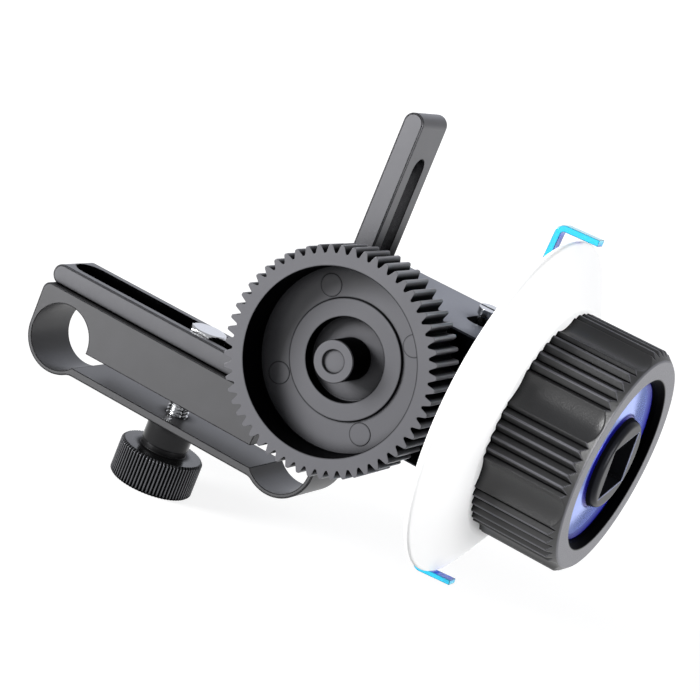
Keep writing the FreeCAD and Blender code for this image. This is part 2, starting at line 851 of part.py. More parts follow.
def bushes():
    thickness = s.bush_flange_thickness
    inner = flanged_bush("inner_bush", "X", chamber_right, pocket_floor, chamber_right - thickness)
    outer = flanged_bush("outer_bush", "X", ring_left, housing_right, cap_front)
    for body in (inner, outer):
        move(body, y=s.wheel_axis_y, z=s.shaft_height)
    output = flanged_bush("output_bush", "Y", housing_front, chamber_front,
                          chamber_front + thickness)
    move(output, x=gear_axis_x, z=s.shaft_height)


def pointer(label, side):
    """Clear strip bent over the disc's rim. side is 1 above the wheel axis and -1 below it."""
    body = new_body(label)
    left, right = housing_right, housing_right + s.pointer_thickness
    inner = pointer_reach - s.pointer_thickness
    half = s.pointer_width / 2
    outline = [(left, s.pointer_foot_start), (left, pointer_reach), (pointer_end, pointer_reach),
               (pointer_end, inner), (right, inner), (right, s.pointer_foot_start)]
    pad(body, "Y", -half, half, polygon([(x, z * side) for x, z in outline]))
    foot = s.pointer_foot_width / 2
    low, high = sorted((s.pointer_foot_start * side, s.pointer_foot_end * side),
                       key=lambda size: size.value)
    pad(body, "X", left, right, rectangle(-foot, low, foot, high))
    cut(body, "X", left, right, circle(0, s.pointer_screw_ring * side, s.small_screw_radius))

    def bend(edge):
        box = edge.BoundBox
        outer_bend = near(box.XMin, left) and near(abs(box.ZMin), pointer_reach)
        return runs_along(edge, VEC(0, 1, 0)) and outer_bend

    def inside_bend(edge):
        box = edge.BoundBox
        return runs_along(edge, VEC(0, 1, 0)) and near(box.XMin, right) and near(abs(box.ZMin), inner)

    eased(body, "Fillet", s.pointer_bend, bend)
    eased(body, "Fillet", s.pointer_bend - s.pointer_thickness, inside_bend)
    move(body, y=s.pointer_y, z=s.shaft_height)


def pointer_screws():
    body = new_body("pointer_screws")
    body.AllowCompound = True
    places = [(0, s.pointer_screw_ring * side) for side in (-1, 1)]
    slotted_screw(body, "X", housing_right + s.pointer_thickness, -1, places)
    move(body, y=s.pointer_y, z=s.shaft_height)


def guide_pins():
    """Two dowels in the housing that run in the upright's slot."""
    body = new_body("guide_pins")
    body.AllowCompound = True
    start = upright_left + s.guide_pin_short
    places = [circle(0, s.guide_pin_offset * side, bolt_radius) for side in (-1, 1)]
    pad(body, "X", start, housing_left + s.guide_pin_depth, *places)
    move(body, y=bolt_y, z=s.shaft_height)


def lock_knob():
    """Knurled knob with the stud that reaches through the upright into the housing."""
    body = new_body("lock_knob")
    face = upright_left - s.washer_thickness - s.face_gap * 2
    end = face - s.lock_knob_length
    stud_end = chamber_left - s.stud_end_gap
    edge = s.knob_edge
    radius = s.lock_knob_radius
    turned(body, "X", [(end, 0), (stud_end, 0), (stud_end, bolt_radius), (face, bolt_radius),
                       (face, radius - edge), (face - edge, radius), (end + edge, radius),
                       (end, radius - edge)])
    ridged(body, "X", end, face, radius, s.knurl_depth, s.lock_knob_ridges)
    move(body, y=bolt_y, z=s.shaft_height)


def lock_washer():
    body = new_body("lock_washer")
    right = upright_left - s.face_gap
    tube(body, "X", right - s.washer_thickness, right, s.washer_radius, turning_hole_radius)
    move(body, y=bolt_y, z=s.shaft_height)


def drag_ring():
    """Ring that turns on the end cap's sleeve; a screw through the top slot moves it."""
    body = new_body("drag_ring")
    tube(body, "X", ring_left, ring_right, ring_radius_out, s.sleeve_radius + s.turning_play)
    middle = ring_left + s.ring_width / 2
    cut(body, "Z", ring_radius_out - s.drag_screw_depth, ring_radius_out,
        circle(middle, 0, s.drag_screw_radius))
    move(body, y=s.wheel_axis_y, z=s.shaft_height, axis=VEC(1, 0, 0), angle=s.drag_screw_angle)


def drag_screw():
    """Slotted screw that stands out of the ring through the housing's top slot."""
    body = new_body("drag_screw")
    head_bottom = drag_screw_top - s.drag_head_height
    turned(body, "Z", [(ring_radius_out - s.drag_screw_depth, 0), (drag_screw_top, 0),
                       (drag_screw_top, s.drag_head_radius), (head_bottom, s.drag_head_radius),
                       (head_bottom, s.drag_screw_radius),
                       (ring_radius_out - s.drag_screw_depth, s.drag_screw_radius)])
    reach, half = s.drag_head_radius, s.drag_slot_cut / 2
    cut(body, "Z", drag_screw_top - s.drag_slot_cut, drag_screw_top,
        rectangle(-reach, -half, reach, half))
    middle = ring_left + s.ring_width / 2
    move(body, x=middle, y=s.wheel_axis_y, z=s.shaft_height, axis=VEC(1, 0, 0),
         angle=s.drag_screw_angle)


# ---------------------------------------------------------------------------------------------
# Mitre gears, shafts and clips


def mitre_gear(label, phase):
    """Straight bevel gear on the body's own Z axis, its cone apex at the origin, facing +Z.

    All tooth surfaces point at the apex, so sections at two distances from it are similar.
    The phase turns the tooth gaps away from the body's own Y axis.
    """
    body = new_body(label)
    teeth = s.mitre_teeth
    cone = mitre_radius * root(as_size(2))
    degrees = Size(math.degrees(1), "(180 / pi)")
    tip_angle = 45 + s.mitre_module / cone * degrees
    root_angle = 45 - s.mitre_module * s.dedendum / cone * degrees
    tip_slope, root_slope = tangent(tip_angle), tangent(root_angle)
    large, small = mitre_radius, mitre_small
    bore = journal_radius
    turned(body, "Z", [(-large, tip_slope * large), (-small, tip_slope * small), (-small, bore),
                       (-mitre_hub_end, bore), (-mitre_hub_end, mitre_hub_radius),
                       (-large, mitre_hub_radius)])
    half_gap = Size(math.pi / 4, "(pi / 4)") * s.mitre_module + s.mitre_backlash / 2
    # The flanks lean by the pressure angle when measured square to the pitch cone.
    lean = tangent(s.pressure_angle) * cosine(45)
    tip, foot = tip_slope * large + s.cutter_overrun, root_slope * large
    top_half = half_gap + (tip - large) * lean
    root_half = half_gap - (large - foot) * lean
    sections = []
    for distance in (large + s.cutter_overrun, small - s.cutter_overrun):
        share = distance / large
        outer, inner = tip * share, foot * share
        sketch = sketch_on(body, "Z", -distance)
        corners = [(-root_half * share, inner), (root_half * share, inner),
                   (top_half * share, outer), (-top_half * share, outer)]
        polygon(spun(corners, phase))(sketch)
        sections.append(sketch)
    gap = body.newObject("PartDesign::SubtractiveLoft", "SubtractiveLoft")
    gap.Profile = sections[0]
    gap.Sections = sections[1:]
    gap.Ruled = True
    around(body, "Z", [gap], teeth)
    grub_at = -large - s.grub_inset
    hole = cut(body, "Y", 0, mitre_hub_radius, circle(0, grub_at, s.grub_radius))
    body.Tip = hole
    return body


def mitre_gears():
    """The input gear turns about X and the output gear about Y; their apexes meet."""
    half_tooth = 180 / s.mitre_teeth
    apex = {"x": gear_axis_x, "y": s.wheel_axis_y, "z": s.shaft_height}
    output = mitre_gear("output_mitre_gear", as_size(0))
    move(output, **apex, axis=VEC(1, 0, 0), angle=-90)
    driver = mitre_gear("input_mitre_gear", half_tooth)
    move(driver, **apex, axis=VEC(0, 1, 0), angle=-90)


def grub_screws():
    """Set screws in the mitre gears' hubs."""
    places = {"output_grub_screw": (VEC(1, 0, 0), -90), "input_grub_screw": (VEC(0, 1, 0), -90)}
    for label, (axis, angle) in places.items():
        body = new_body(label)
        place = circle(0, -mitre_radius - s.grub_inset, s.grub_radius)
        pad(body, "Y", journal_radius, mitre_hub_radius, place)
        move(body, x=gear_axis_x, y=s.wheel_axis_y, z=s.shaft_height, axis=axis, angle=angle)


def shaft_profile(start, journal_end, groove_start, end, hole_start, hole):
    """Stepped shaft: a thin journal, then the full radius with a clip groove and an end hole."""
    radius, thin = s.shaft_radius, journal_radius
    groove_end = groove_start + s.clip_thickness
    return [(start, 0), (start, thin), (journal_end, thin), (journal_end, radius),
            (groove_start, radius), (groove_start, groove_bottom), (groove_end, groove_bottom),
            (groove_end, radius), (end, radius), (end, hole), (hole_start, hole), (hole_start, 0)]


def shafts():
    reach = mitre_small - s.mitre_nose
    driver = new_body("input_shaft")
    turned(driver, "X", shaft_profile(gear_axis_x + reach, gear_axis_x + mitre_hub_end, input_clip_at,
                                      socket_back, wheel_screw_end, s.end_screw_radius))
    move(driver, y=s.wheel_axis_y, z=s.shaft_height)
    output = new_body("output_shaft")
    radius, thin = s.shaft_radius, journal_radius
    start, end = gear_pocket_floor, s.wheel_axis_y - reach
    step = s.wheel_axis_y - mitre_hub_end
    groove_end = output_clip_at + s.clip_thickness
    stud_end = start + s.retainer_stud_length
    turned(output, "Y", [(start, s.end_screw_radius), (start, radius), (output_clip_at, radius),
                         (output_clip_at, groove_bottom), (groove_end, groove_bottom),
                         (groove_end, radius), (step, radius), (step, thin), (end, thin), (end, 0),
                         (stud_end, 0), (stud_end, s.end_screw_radius)])
    move(output, x=gear_axis_x, z=s.shaft_height)


def clips():
    """Split retaining rings in the shafts' grooves."""
    mouth = groove_bottom * s.clip_mouth_share
    for label, axis, start in (("input_clip", "X", input_clip_at), ("output_clip", "Y", output_clip_at)):
        body = new_body(label)
        tube(body, axis, start, start + s.clip_thickness, clip_radius, groove_bottom)
        cut(body, axis, start, start + s.clip_thickness,
            rectangle(-mouth, -clip_radius, mouth, 0))
        if axis == "X":
            move(body, y=s.wheel_axis_y, z=s.shaft_height)
        else:
            move(body, x=gear_axis_x, z=s.shaft_height)


# ---------------------------------------------------------------------------------------------
# Drive gear


def drive_gear():
    """Moulded gear with a deep front, a stepped web and a hub that faces the housing."""
    body = new_body("drive_gear")
    teeth, module = s.drive_teeth, s.drive_module
    tip = (teeth / 2 + 1) * module
    step_face = gear_floor - s.gear_step_height
    hole = s.shaft_radius
    turned(body, "Y", [(gear_hub_back, hole), (gear_hub_back, s.gear_hub_radius),
                       (gear_back, s.gear_hub_radius),
                       (gear_back, tip), (gear_front, tip), (gear_front, gear_rim_radius),
                       (gear_floor, gear_rim_radius), (gear_floor, s.gear_step_radius),
                       (step_face, s.gear_step_radius), (step_face, s.gear_pocket_radius),
                       (gear_pocket_floor, s.gear_pocket_radius), (gear_pocket_floor, hole)])
    ring, size = s.ejector_ring, s.ejector_radius
    marks = []
    for quarter in range(4):
        x, z = spun([(ring, 0)], s.ejector_angle + 90 * quarter)[0]
        marks += [circle(x, z, size), circle(x, z, size - s.ejector_groove)]
    cut(body, "Y", gear_floor, gear_floor + s.ejector_groove, *marks)
    pitch, bottom = gear_pitch_radius, gear_root_radius
    lean = tangent(s.pressure_angle)
    half_gap = Size(math.pi / 4, "(pi / 4)") * module
    over = tip + module / 4
    outer_half = half_gap + (over - pitch) * lean
    root_half = half_gap - (pitch - bottom) * lean
    gap = cut(body, "Y", gear_front, gear_back,
              polygon([(-root_half, bottom), (root_half, bottom), (outer_half, over),
                       (-outer_half, over)]))
    around(body, "Y", [gap], teeth)
    move(body, x=gear_axis_x, z=s.shaft_height, axis=VEC(0, 1, 0), angle=-s.gear_phase)


def gear_retainer():
    """Post that screws into the output shaft and holds the drive gear on it."""
    body = new_body("gear_retainer")
    front, face = retainer_front, gear_pocket_floor
    recess = front + s.retainer_recess_depth
    stud_end = face + s.retainer_stud_length
    turned(body, "Y", [(recess, 0), (recess, s.retainer_recess_radius), (front, s.retainer_recess_radius),
                       (front, s.retainer_radius), (face, s.retainer_radius),
                       (face, s.end_screw_radius), (stud_end, s.end_screw_radius),
                       (stud_end, 0)])
    move(body, x=gear_axis_x, z=s.shaft_height)


# ---------------------------------------------------------------------------------------------
# Wheel stack on the input shaft


def disc_carrier():
    body = new_body("disc_carrier")
    bore, hub = s.shaft_radius, s.carrier_hub_radius
    turned(body, "X", [(carrier_left, bore), (carrier_right, bore),
                       (carrier_right, s.carrier_flange_radius),
                       (carrier_flange_left, s.carrier_flange_radius),
                       (carrier_flange_left, hub), (carrier_left, hub)])
    move(body, y=s.wheel_axis_y, z=s.shaft_height)


def marking_disc():
    """Dished disc for focus marks: a flat web behind the wheel and a cone out to the rim."""
    body = new_body("marking_disc")
    run = wheel_back - disc_rim_x
    rise = s.disc_rim_radius - disc_cone_radius
    length = root(run * run + rise * rise)
    # The cone's wall is as thick as the web, measured square to its face.
    back_x = rise / length * s.disc_web
    back_r = run / length * s.disc_web
    knee_r = disc_cone_radius - s.disc_web * (length - rise) / run
    turned(body, "X", [(carrier_right, s.shaft_radius), (carrier_right, knee_r),
                       (disc_rim_x - back_x, s.disc_rim_radius - back_r),
                       (disc_rim_x, s.disc_rim_radius), (wheel_back, disc_cone_radius),
                       (wheel_back, s.shaft_radius)])

    def rim(edge):
        return edge.BoundBox.ZMax > (s.disc_rim_radius - back_r).value - 1e-4

    eased(body, "Fillet", s.disc_rim_edge, rim)
    move(body, y=s.wheel_axis_y, z=s.shaft_height)


def hand_wheel():
    """Hollow wheel with a recessed front, grooved lands and round scallops."""
    body = new_body("hand_wheel")
    back, front = wheel_back, wheel_front
    skin = s.wheel_radius - s.wheel_skin
    seat = socket_base_radius
    turned(body, "X", [(back, s.shaft_radius), (back, s.wheel_hub_radius),
                       (wheel_hollow_end, s.wheel_hub_radius), (wheel_hollow_end, skin),
                       (back, skin), (back, s.wheel_radius), (front, s.wheel_radius),
                       (front, opening_radius), (dish_edge_x, dish_radius),
                       (dish_back, dish_radius), (dish_back, seat),
                       (socket_back, seat), (socket_back, s.shaft_radius)])

    def front_edge(edge):
        return near(edge.BoundBox.XMin, front) and near(edge.BoundBox.ZMax, s.wheel_radius)

    eased(body, "Fillet", s.wheel_front_round, front_edge)
    bottom = s.wheel_radius - s.groove_depth
    over = s.wheel_radius + s.groove_depth
    reach = s.groove_depth * 2 * tangent(s.groove_half_angle)
    grooves = []
    for number in range(DRIVING["groove_group"]):
        middle = (s.groove_group - 1) / 2
        angle = s.groove_phase + s.groove_pitch * (number - middle)
        grooves.append(polygon(spun([(bottom, 0), (over, reach), (over, -reach)], angle)))
    groove_cuts = [cut(body, "X", back, front, groove) for groove in grooves]
    centre = s.wheel_radius - s.scallop_depth + s.scallop_cutter
    y, z = spun([(centre, 0)], s.scallop_phase)[0]
    channel = cut(body, "X", back, scallop_end, circle(y, z, s.scallop_cutter))
    end_ball = body.newObject("PartDesign::SubtractiveSphere", "SubtractiveSphere")
    end_ball.AttachmentSupport = [(origin_part(body, "YZ_Plane"), "")]
    end_ball.MapMode = "FlatFace"
    bind(end_ball, "Radius", s.scallop_cutter)
    for name, value in (("x", y), ("y", z), ("z", scallop_end)):
        bind(end_ball, f"AttachmentOffset.Base.{name}", value)
    around(body, "X", groove_cuts + [channel, end_ball], s.groove_count)
    move(body, y=s.wheel_axis_y, z=s.shaft_height)


def wheel_dish():
    """Dished insert in the wheel's front, higher around the crank socket."""
    body = new_body("wheel_dish")
    turned(body, "X", [(dish_back, socket_base_radius), (dish_boss_x, socket_base_radius),
                       (dish_edge_x, dish_radius), (dish_back, dish_radius)])
    move(body, y=s.wheel_axis_y, z=s.shaft_height)


def crank_socket():
    """Boss with the square hole that takes a crank or a flexible drive."""
    body = new_body("crank_socket")
    turned(body, "X", [(socket_back, 0), (socket_back, socket_base_radius),
                       (dish_boss_x, socket_base_radius), (socket_front, socket_nose_radius),
                       (socket_front, 0)])

    def nose(edge):
        return near(edge.BoundBox.XMin, socket_front)

    eased(body, "Fillet", s.socket_edge, nose)
    corners = [spun([(socket_half_diagonal, 0)], s.socket_angle + 90 * quarter)[0]
               for quarter in range(4)]
    cut(body, "X", socket_floor, socket_front, polygon(corners))
    cut(body, "X", socket_back, socket_floor, circle(0, 0, s.end_screw_radius))
    move(body, y=s.wheel_axis_y, z=s.shaft_height)


def wheel_screw():
    """Cap screw in the socket's floor that pulls the wheel stack on to the shaft."""
    body = new_body("wheel_screw")
    seat = socket_floor
    top = seat + s.wheel_screw_head_height
    turned(body, "X", [(wheel_screw_end, 0), (wheel_screw_end, s.end_screw_radius),
                       (seat, s.end_screw_radius), (seat, s.wheel_screw_head_radius),
                       (top, s.wheel_screw_head_radius), (top, 0)])
    cut(body, "X", top - s.wheel_screw_head_height / 2, top, hexagon(s.wheel_screw_hex))
    move(body, y=s.wheel_axis_y, z=s.shaft_height)


# ---------------------------------------------------------------------------------------------
# Build, check and write


def build():
    for make in (rod_clamp, clamp_bolt, spacer_collar, clamp_knob, bracket, gearbox_housing,
                 back_cover, back_cover_screws, end_cap, bushes):
        make()
    pointer("pointer_top", 1)
    pointer("pointer_bottom", -1)
    for make in (pointer_screws, guide_pins, lock_knob, lock_washer, drag_ring, drag_screw,
                 mitre_gears, grub_screws, shafts, clips, drive_gear, gear_retainer, disc_carrier,
                 marking_disc, hand_wheel, wheel_dish, crank_socket, wheel_screw):
        make()
    DOC.recompute()


def check():
    """Stop if any object failed, any shape is bad or any cut removed nothing."""
    for thing in DOC.Objects:
        if "Invalid" in thing.State or "Error" in thing.State:
            raise RuntimeError(f"{thing.Label} failed: {thing.State}")
        if thing.TypeId in ("PartDesign::Pocket", "PartDesign::SubtractiveSphere",
                            "PartDesign::SubtractiveLoft"):
            if thing.Shape.Volume > thing.BaseFeature.Shape.Volume - 1e-6:
                raise RuntimeError(f"{thing.Label} in {thing.getParentGeoFeatureGroup().Label} cut nothing")
    for body in PARTS:
        if body.Shape.isNull() or not body.Shape.isValid():
            raise RuntimeError(f"{body.Label} has a bad shape")


def write():
    os.makedirs("parts", exist_ok=True)
    for body in PARTS:
        body.Shape.exportStep(f"parts/{body.Label}.step")
        box = body.Shape.BoundBox
        print(f"{body.Label}: {len(body.Shape.Solids)} solid, volume {body.Shape.Volume:.1f},",
              f"x {box.XMin:.2f} {box.XMax:.2f}, y {box.YMin:.2f} {box.YMax:.2f},",
              f"z {box.ZMin:.2f} {box.ZMax:.2f}")


build()
check()
write()
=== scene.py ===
# %% [markdown]
# # A follow focus unit
#
# A camera assistant turns the big ribbed wheel, and a pair of mitre gears inside the black
# block turns the toothed gear that drives a lens ring. This lesson dresses the measured
# model: the engineering solids stay where they are, the parts with a fine surface are worked
# out again as smooth shapes, and every surface gets the finish of the real material.

# %% Load the measured model
import math

import bpy
import numpy as np
from mathutils import Matrix, Vector


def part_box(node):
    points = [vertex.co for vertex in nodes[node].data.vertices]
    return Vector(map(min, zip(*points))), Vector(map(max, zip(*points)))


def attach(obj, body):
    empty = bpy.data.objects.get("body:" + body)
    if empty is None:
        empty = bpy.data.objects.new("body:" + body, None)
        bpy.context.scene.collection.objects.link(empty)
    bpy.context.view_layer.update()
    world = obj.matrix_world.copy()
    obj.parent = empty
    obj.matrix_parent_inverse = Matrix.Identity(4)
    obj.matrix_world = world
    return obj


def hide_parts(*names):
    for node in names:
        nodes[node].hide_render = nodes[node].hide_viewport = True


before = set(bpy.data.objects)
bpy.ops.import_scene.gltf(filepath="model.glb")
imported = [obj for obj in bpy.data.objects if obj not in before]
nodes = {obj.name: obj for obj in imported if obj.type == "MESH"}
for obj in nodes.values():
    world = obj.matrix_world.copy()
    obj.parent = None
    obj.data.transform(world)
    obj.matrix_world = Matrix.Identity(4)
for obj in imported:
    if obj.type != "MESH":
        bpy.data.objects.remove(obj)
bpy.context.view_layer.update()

# %% [markdown]
# ## Lengths and colours
#
# The drawing is in millimetres and Blender works in metres, so one factor turns one into the
# other. A hex colour is what a screen shows; light is added up in linear values, so one
# function undoes the screen's curve.

# %% Two small conversions
mm = 0.001


def linear(code):
    """A colour written #rrggbb as linear red, green, blue and alpha.

    Each channel c is c / 12.92 below 0.04045, and ((c + 0.055) / 1.055) to the power 2.4 above.
    """
    channels = np.array([int(code[i:i + 2], 16) for i in (1, 3, 5)]) / 255
    low, high = channels / 12.92, ((channels + 0.055) / 1.055) ** 2.4
    return (*np.where(channels <= 0.04045, low, high), 1.0)


print("mid grey is", round(linear("#808080")[0], 3), "in linear light")

# %% [markdown]
# ## Camera
#
# A long lens stands to the right of the unit and a little above it, rolled so that the unit
# leans across the picture. Three unit vectors say which way the picture's right, its down and
# the line of sight run in the model, and a long focal length keeps the shapes flat.

# %% Place the camera
right = np.array([0.82607203, 0.42427719, 0.37093648])
down = np.array([0.43518305, -0.06202626, -0.8982029])
ahead = np.array([-0.3580792, 0.90340556, -0.2358764])
offset = np.array([-39.86664753, 10.16791114, 488.56008028]) * mm
stand = -(right * offset[0] + down * offset[1] + ahead * offset[2])
focal_pixels, picture_pixels = 2241.38, 700.0

lens = bpy.data.cameras.new("long_lens")
lens.sensor_width = 36.0
lens.lens = focal_pixels * lens.sensor_width / picture_pixels
lens.clip_start = 10 * mm
lens.clip_end = 100.0
camera = bpy.data.objects.new("camera", lens)
bpy.context.scene.collection.objects.link(camera)
camera.matrix_world = Matrix.Translation(stand.tolist()) @ Matrix(
    np.column_stack([right, -down, -ahead]).tolist()).to_4x4()
bpy.context.scene.camera = camera
print("camera at", (stand / mm).round(0), "mm, lens", round(lens.lens, 1), "mm")

# %% [markdown]
# ## Nodes
#
# A material is a small network: a texture says where, a bump says how high, and a shader says
# how light leaves the surface. One function adds a node, sets it up and links it, so that each
# material reads as a list of what it is made of.

# %% Add a node, start a material
def add(tree, kind, inputs=None, **settings):
    """A new node. inputs maps a socket's name or number to a value, or to a socket to link."""
    node = tree.nodes.new(kind)
    for name, value in settings.items():
        setattr(node, name, value)
    for name, value in (inputs or {}).items():
        if isinstance(value, bpy.types.NodeSocket):
            tree.links.new(value, node.inputs[name])
        else:
            node.inputs[name].default_value = value
    return node


def start(name):
    """An empty material and its node tree."""
    material = bpy.data.materials.new(name)
    material.use_nodes = True
    material.node_tree.nodes.clear()
    return material, material.node_tree


def close(tree, shader):
    """Send the shader to the material's output."""
    add(tree, "ShaderNodeOutputMaterial", {"Surface": shader.outputs[0]})


def per_mm(size):
    """Noise scale that gives features of this size in millimetres, on coordinates in metres."""
    return 1000.0 / size


# %% [markdown]
# ## Patterns that several materials share
#
# Blasted, moulded and turned surfaces differ in the pattern that the process leaves. Each
# pattern is worked out in the object's own millimetres, so it stays put when the part moves.
# Real edges are never sharp: the Bevel node bends the light at an edge as a small round would.
# Where its normal leaves the surface's own, there is an edge, and a dark line is painted there
# as shade.

# %% Soft edge, grain, cloud and turning marks
def soft_edge(tree, radius):
    """The normal of a surface whose edges are rounded by the radius in millimetres."""
    return add(tree, "ShaderNodeBevel", {"Radius": radius * mm}, samples=6).outputs["Normal"]


def edge_share(tree, radius):
    """0 on a flat, 1 at an edge: how far the rounded normal turns from the surface's own."""
    surface = add(tree, "ShaderNodeNewGeometry")
    turned = add(tree, "ShaderNodeVectorMath", {0: soft_edge(tree, radius),
                                                1: surface.outputs["Normal"]},
                 operation="DOT_PRODUCT")
    share = add(tree, "ShaderNodeMapRange", {"Value": turned.outputs["Value"],
                                             "From Min": 0.9995, "From Max": 0.985})
    return share.outputs[0]


def grain(tree, size, depth, edge):
    """Bump of a fine random grain on a surface with soft edges.

    Height is noise with features of the given size, times the depth; all in millimetres.
    """
    spot = add(tree, "ShaderNodeTexCoord")
    noise = add(tree, "ShaderNodeTexNoise", {"Vector": spot.outputs["Object"],
                                             "Scale": per_mm(size), "Detail": 3.0,
                                             "Roughness": 0.6})
    bump = add(tree, "ShaderNodeBump", {"Strength": 1.0, "Distance": depth * mm,
                                        "Height": noise.outputs["Fac"]})
    if edge:
        tree.links.new(soft_edge(tree, edge), bump.inputs["Normal"])
    return bump.outputs["Normal"]


def cloud(tree, size, dark, light):
    """A colour that drifts between two close shades over patches of the given size."""
    spot = add(tree, "ShaderNodeTexCoord")
    noise = add(tree, "ShaderNodeTexNoise", {"Vector": spot.outputs["Object"],
                                             "Scale": per_mm(size), "Detail": 2.0})
    mix = add(tree, "ShaderNodeMix", {"Factor": noise.outputs["Fac"], 6: linear(dark),
                                      7: linear(light)}, data_type="RGBA")
    return mix.outputs[2]


def blend(tree, share, colour, other):
    """The colour where the share is 0, the other where it is 1."""
    mix = add(tree, "ShaderNodeMix", {"Factor": share, 6: colour, 7: linear(other)},
              data_type="RGBA")
    return mix.outputs[2]


def highlight_share(tree):
    """1 where the mesh's number called shade is -1: edges and faces painted pale as highlights.
    """
    shade = add(tree, "ShaderNodeAttribute", attribute_name="shade")
    below = add(tree, "ShaderNodeMapRange", {"Value": shade.outputs["Fac"], "From Max": -1.0})
    return below.outputs[0]


def painted_shade(tree, reach, low=0.5, high=0.95, radius=0.0):
    """1 where shade is painted dark: in slots, where the mesh says so, and as a line along
    edges.

    Ambient occlusion gives the share of directions that nothing within reach blocks. At the
    low share it is a slot, and from the high share on it is open. The mesh's number is shade.
    """
    open_share = add(tree, "ShaderNodeAmbientOcclusion", {"Distance": reach * mm}, samples=8)
    slot = add(tree, "ShaderNodeMapRange", {"Value": open_share.outputs["AO"], "From Min": low,
                                            "From Max": high, "To Min": 1.0, "To Max": 0.0})
    shade = add(tree, "ShaderNodeAttribute", attribute_name="shade")
    most = add(tree, "ShaderNodeMath", {0: slot.outputs[0], 1: shade.outputs["Fac"]},
               operation="MAXIMUM")
    if radius:
        most = add(tree, "ShaderNodeMath", {0: most.outputs[0], 1: edge_share(tree, radius)},
                   operation="MAXIMUM")
    return most.outputs[0]


# The roughness where shade is painted, so that its black shows no gloss.
painted_shade_roughness = 0.9


def dulled(tree, roughness, shaded_share):
    """The surface's own roughness, rising to 0.9 where shade is painted, so that no gloss shows
    there.
    """
    dull = add(tree, "ShaderNodeMapRange", {"Value": shaded_share, "To Min": roughness,
                                            "To Max": painted_shade_roughness})
    return dull.outputs[0]


def blackened(tree, metallic, shaded_share):
    """The surface's metallic share, rising to 1 where black shade is painted, so that it hides
    the gloss.

    A metal takes the colour of its mirror from its base colour, so a black one mirrors nothing.
    """
    black = add(tree, "ShaderNodeMapRange", {"Value": shaded_share, "To Min": metallic, "To Max": 1.0})
    return black.outputs[0]


def turning_marks(tree, axis, centre, pitch, depth, edge):
    """Bump of the rings that a lathe tool leaves about an axis through the centre.

    The wave texture makes 20 radians of wave to a unit, and one ring takes 2 pi radians.
    """
    rate = per_mm(pitch) * 2 * math.pi / 20
    spot = add(tree, "ShaderNodeTexCoord")
    shift = add(tree, "ShaderNodeMapping", {"Vector": spot.outputs["Object"],
                                            "Location": [-c * mm for c in centre]})
    rings = add(tree, "ShaderNodeTexWave", {"Vector": shift.outputs["Vector"],
                                            "Scale": rate, "Distortion": 0.4,
                                            "Detail": 2.0, "Detail Scale": 3.0},
                wave_type="RINGS", rings_direction=axis)
    bump = add(tree, "ShaderNodeBump", {"Strength": 1.0, "Distance": depth * mm,
                                        "Height": rings.outputs["Fac"],
                                        "Normal": soft_edge(tree, edge)})
    return bump.outputs["Normal"]


print("0.2 mm grain has noise scale", per_mm(0.2))

# %% [markdown]
# ## Anodised aluminium
#
# The clamp, the bracket and the gear block are milled from aluminium bar, blasted with fine
# beads and anodised. The dyed oxide film makes the metal's reflection dark and satin: broad,
# soft patches of light with no sharp image in them. Half way between a metal and a dye, it is
# drawn with a metallic value between 0 and 1. The blasting grit is about 0.1 mm; drawn at
# 0.3 mm it just shows.

# %% Blasted and dyed aluminium
def anodised(name, dark, light, metallic, roughness, depth, reach, low, line):
    """Blasted aluminium under a dyed oxide film.

    reach and low say what counts as a slot, where shade is painted near-black, and line is the
    width of the dark line painted along edges as shade. depth, reach and line are in
    millimetres.
    """
    material, tree = start(name)
    # Near-black is painted as shade in slots and along edges, and a pale grey as a highlight
    # where the mesh's number asks for it.
    shaded_share = painted_shade(tree, reach, low, 0.95, line)
    highlighted = blend(tree, highlight_share(tree), cloud(tree, 6.0, dark, light), "#8a8b90")
    shader = add(tree, "ShaderNodeBsdfPrincipled", {
        "Base Color": blend(tree, shaded_share, highlighted, "#020203"),
        "Metallic": blackened(tree, metallic, shaded_share),
        "Roughness": dulled(tree, roughness, shaded_share), "Specular IOR Level": 0.4,
        "Normal": grain(tree, 0.3, depth, 0.1)})
    close(tree, shader)
    return material


clamp_finish = anodised("anodised_aluminium_graphite", "#484849", "#4e4e50", metallic=0.5,
                        roughness=0.4, depth=0.01, reach=3.0, low=0.3, line=0.35)
bracket_finish = anodised("anodised_aluminium_grey", "#555558", "#5b5b5e", metallic=0.5,
                          roughness=0.38, depth=0.01, reach=14.0, low=0.6, line=0.4)
block_finish = anodised("anodised_aluminium_slate", "#5d606a", "#636670", metallic=0.6,
                        roughness=0.36, depth=0.008, reach=15.0, low=0.5, line=0.35)
knob_finish = anodised("anodised_aluminium_black", "#1d1d1e", "#242425", metallic=0.7,
                       roughness=0.22, depth=0.004, reach=2.0, low=0.4, line=0.0)
print("anodised finishes: graphite, grey, slate, black")

# %% [markdown]
# ## Blue anodised aluminium
#
# The dish in the wheel and the drag ring in the block are turned, polished and dyed blue. The
# metal under the film mirrors the studio, so the blue is nearly white where it meets the light;
# the deep blue at the edges and in the corners is painted shade. The tool's real marks are about
# 0.1 mm apart, which is too fine to see, so the rings are drawn 2.2 mm apart and very shallow.

# %% Blue turned aluminium
def blue_turned(name, centre, reach):
    """Turned aluminium with a blue film, its tool marks about X through the centre."""
    material, tree = start(name)
    # Deep blue is painted as shade in the corners and where the mesh's number asks for it.
    shader = add(tree, "ShaderNodeBsdfPrincipled", {
        "Base Color": blend(tree, painted_shade(tree, reach, 0.4, 0.8),
                            cloud(tree, 9.0, "#9db0fb", "#abbefe"), "#080a86"),
        "Metallic": 0.6, "Roughness": 0.24,
        "Normal": turning_marks(tree, "X", centre, 2.199, 0.0015, 0.1)})
    close(tree, shader)
    return material


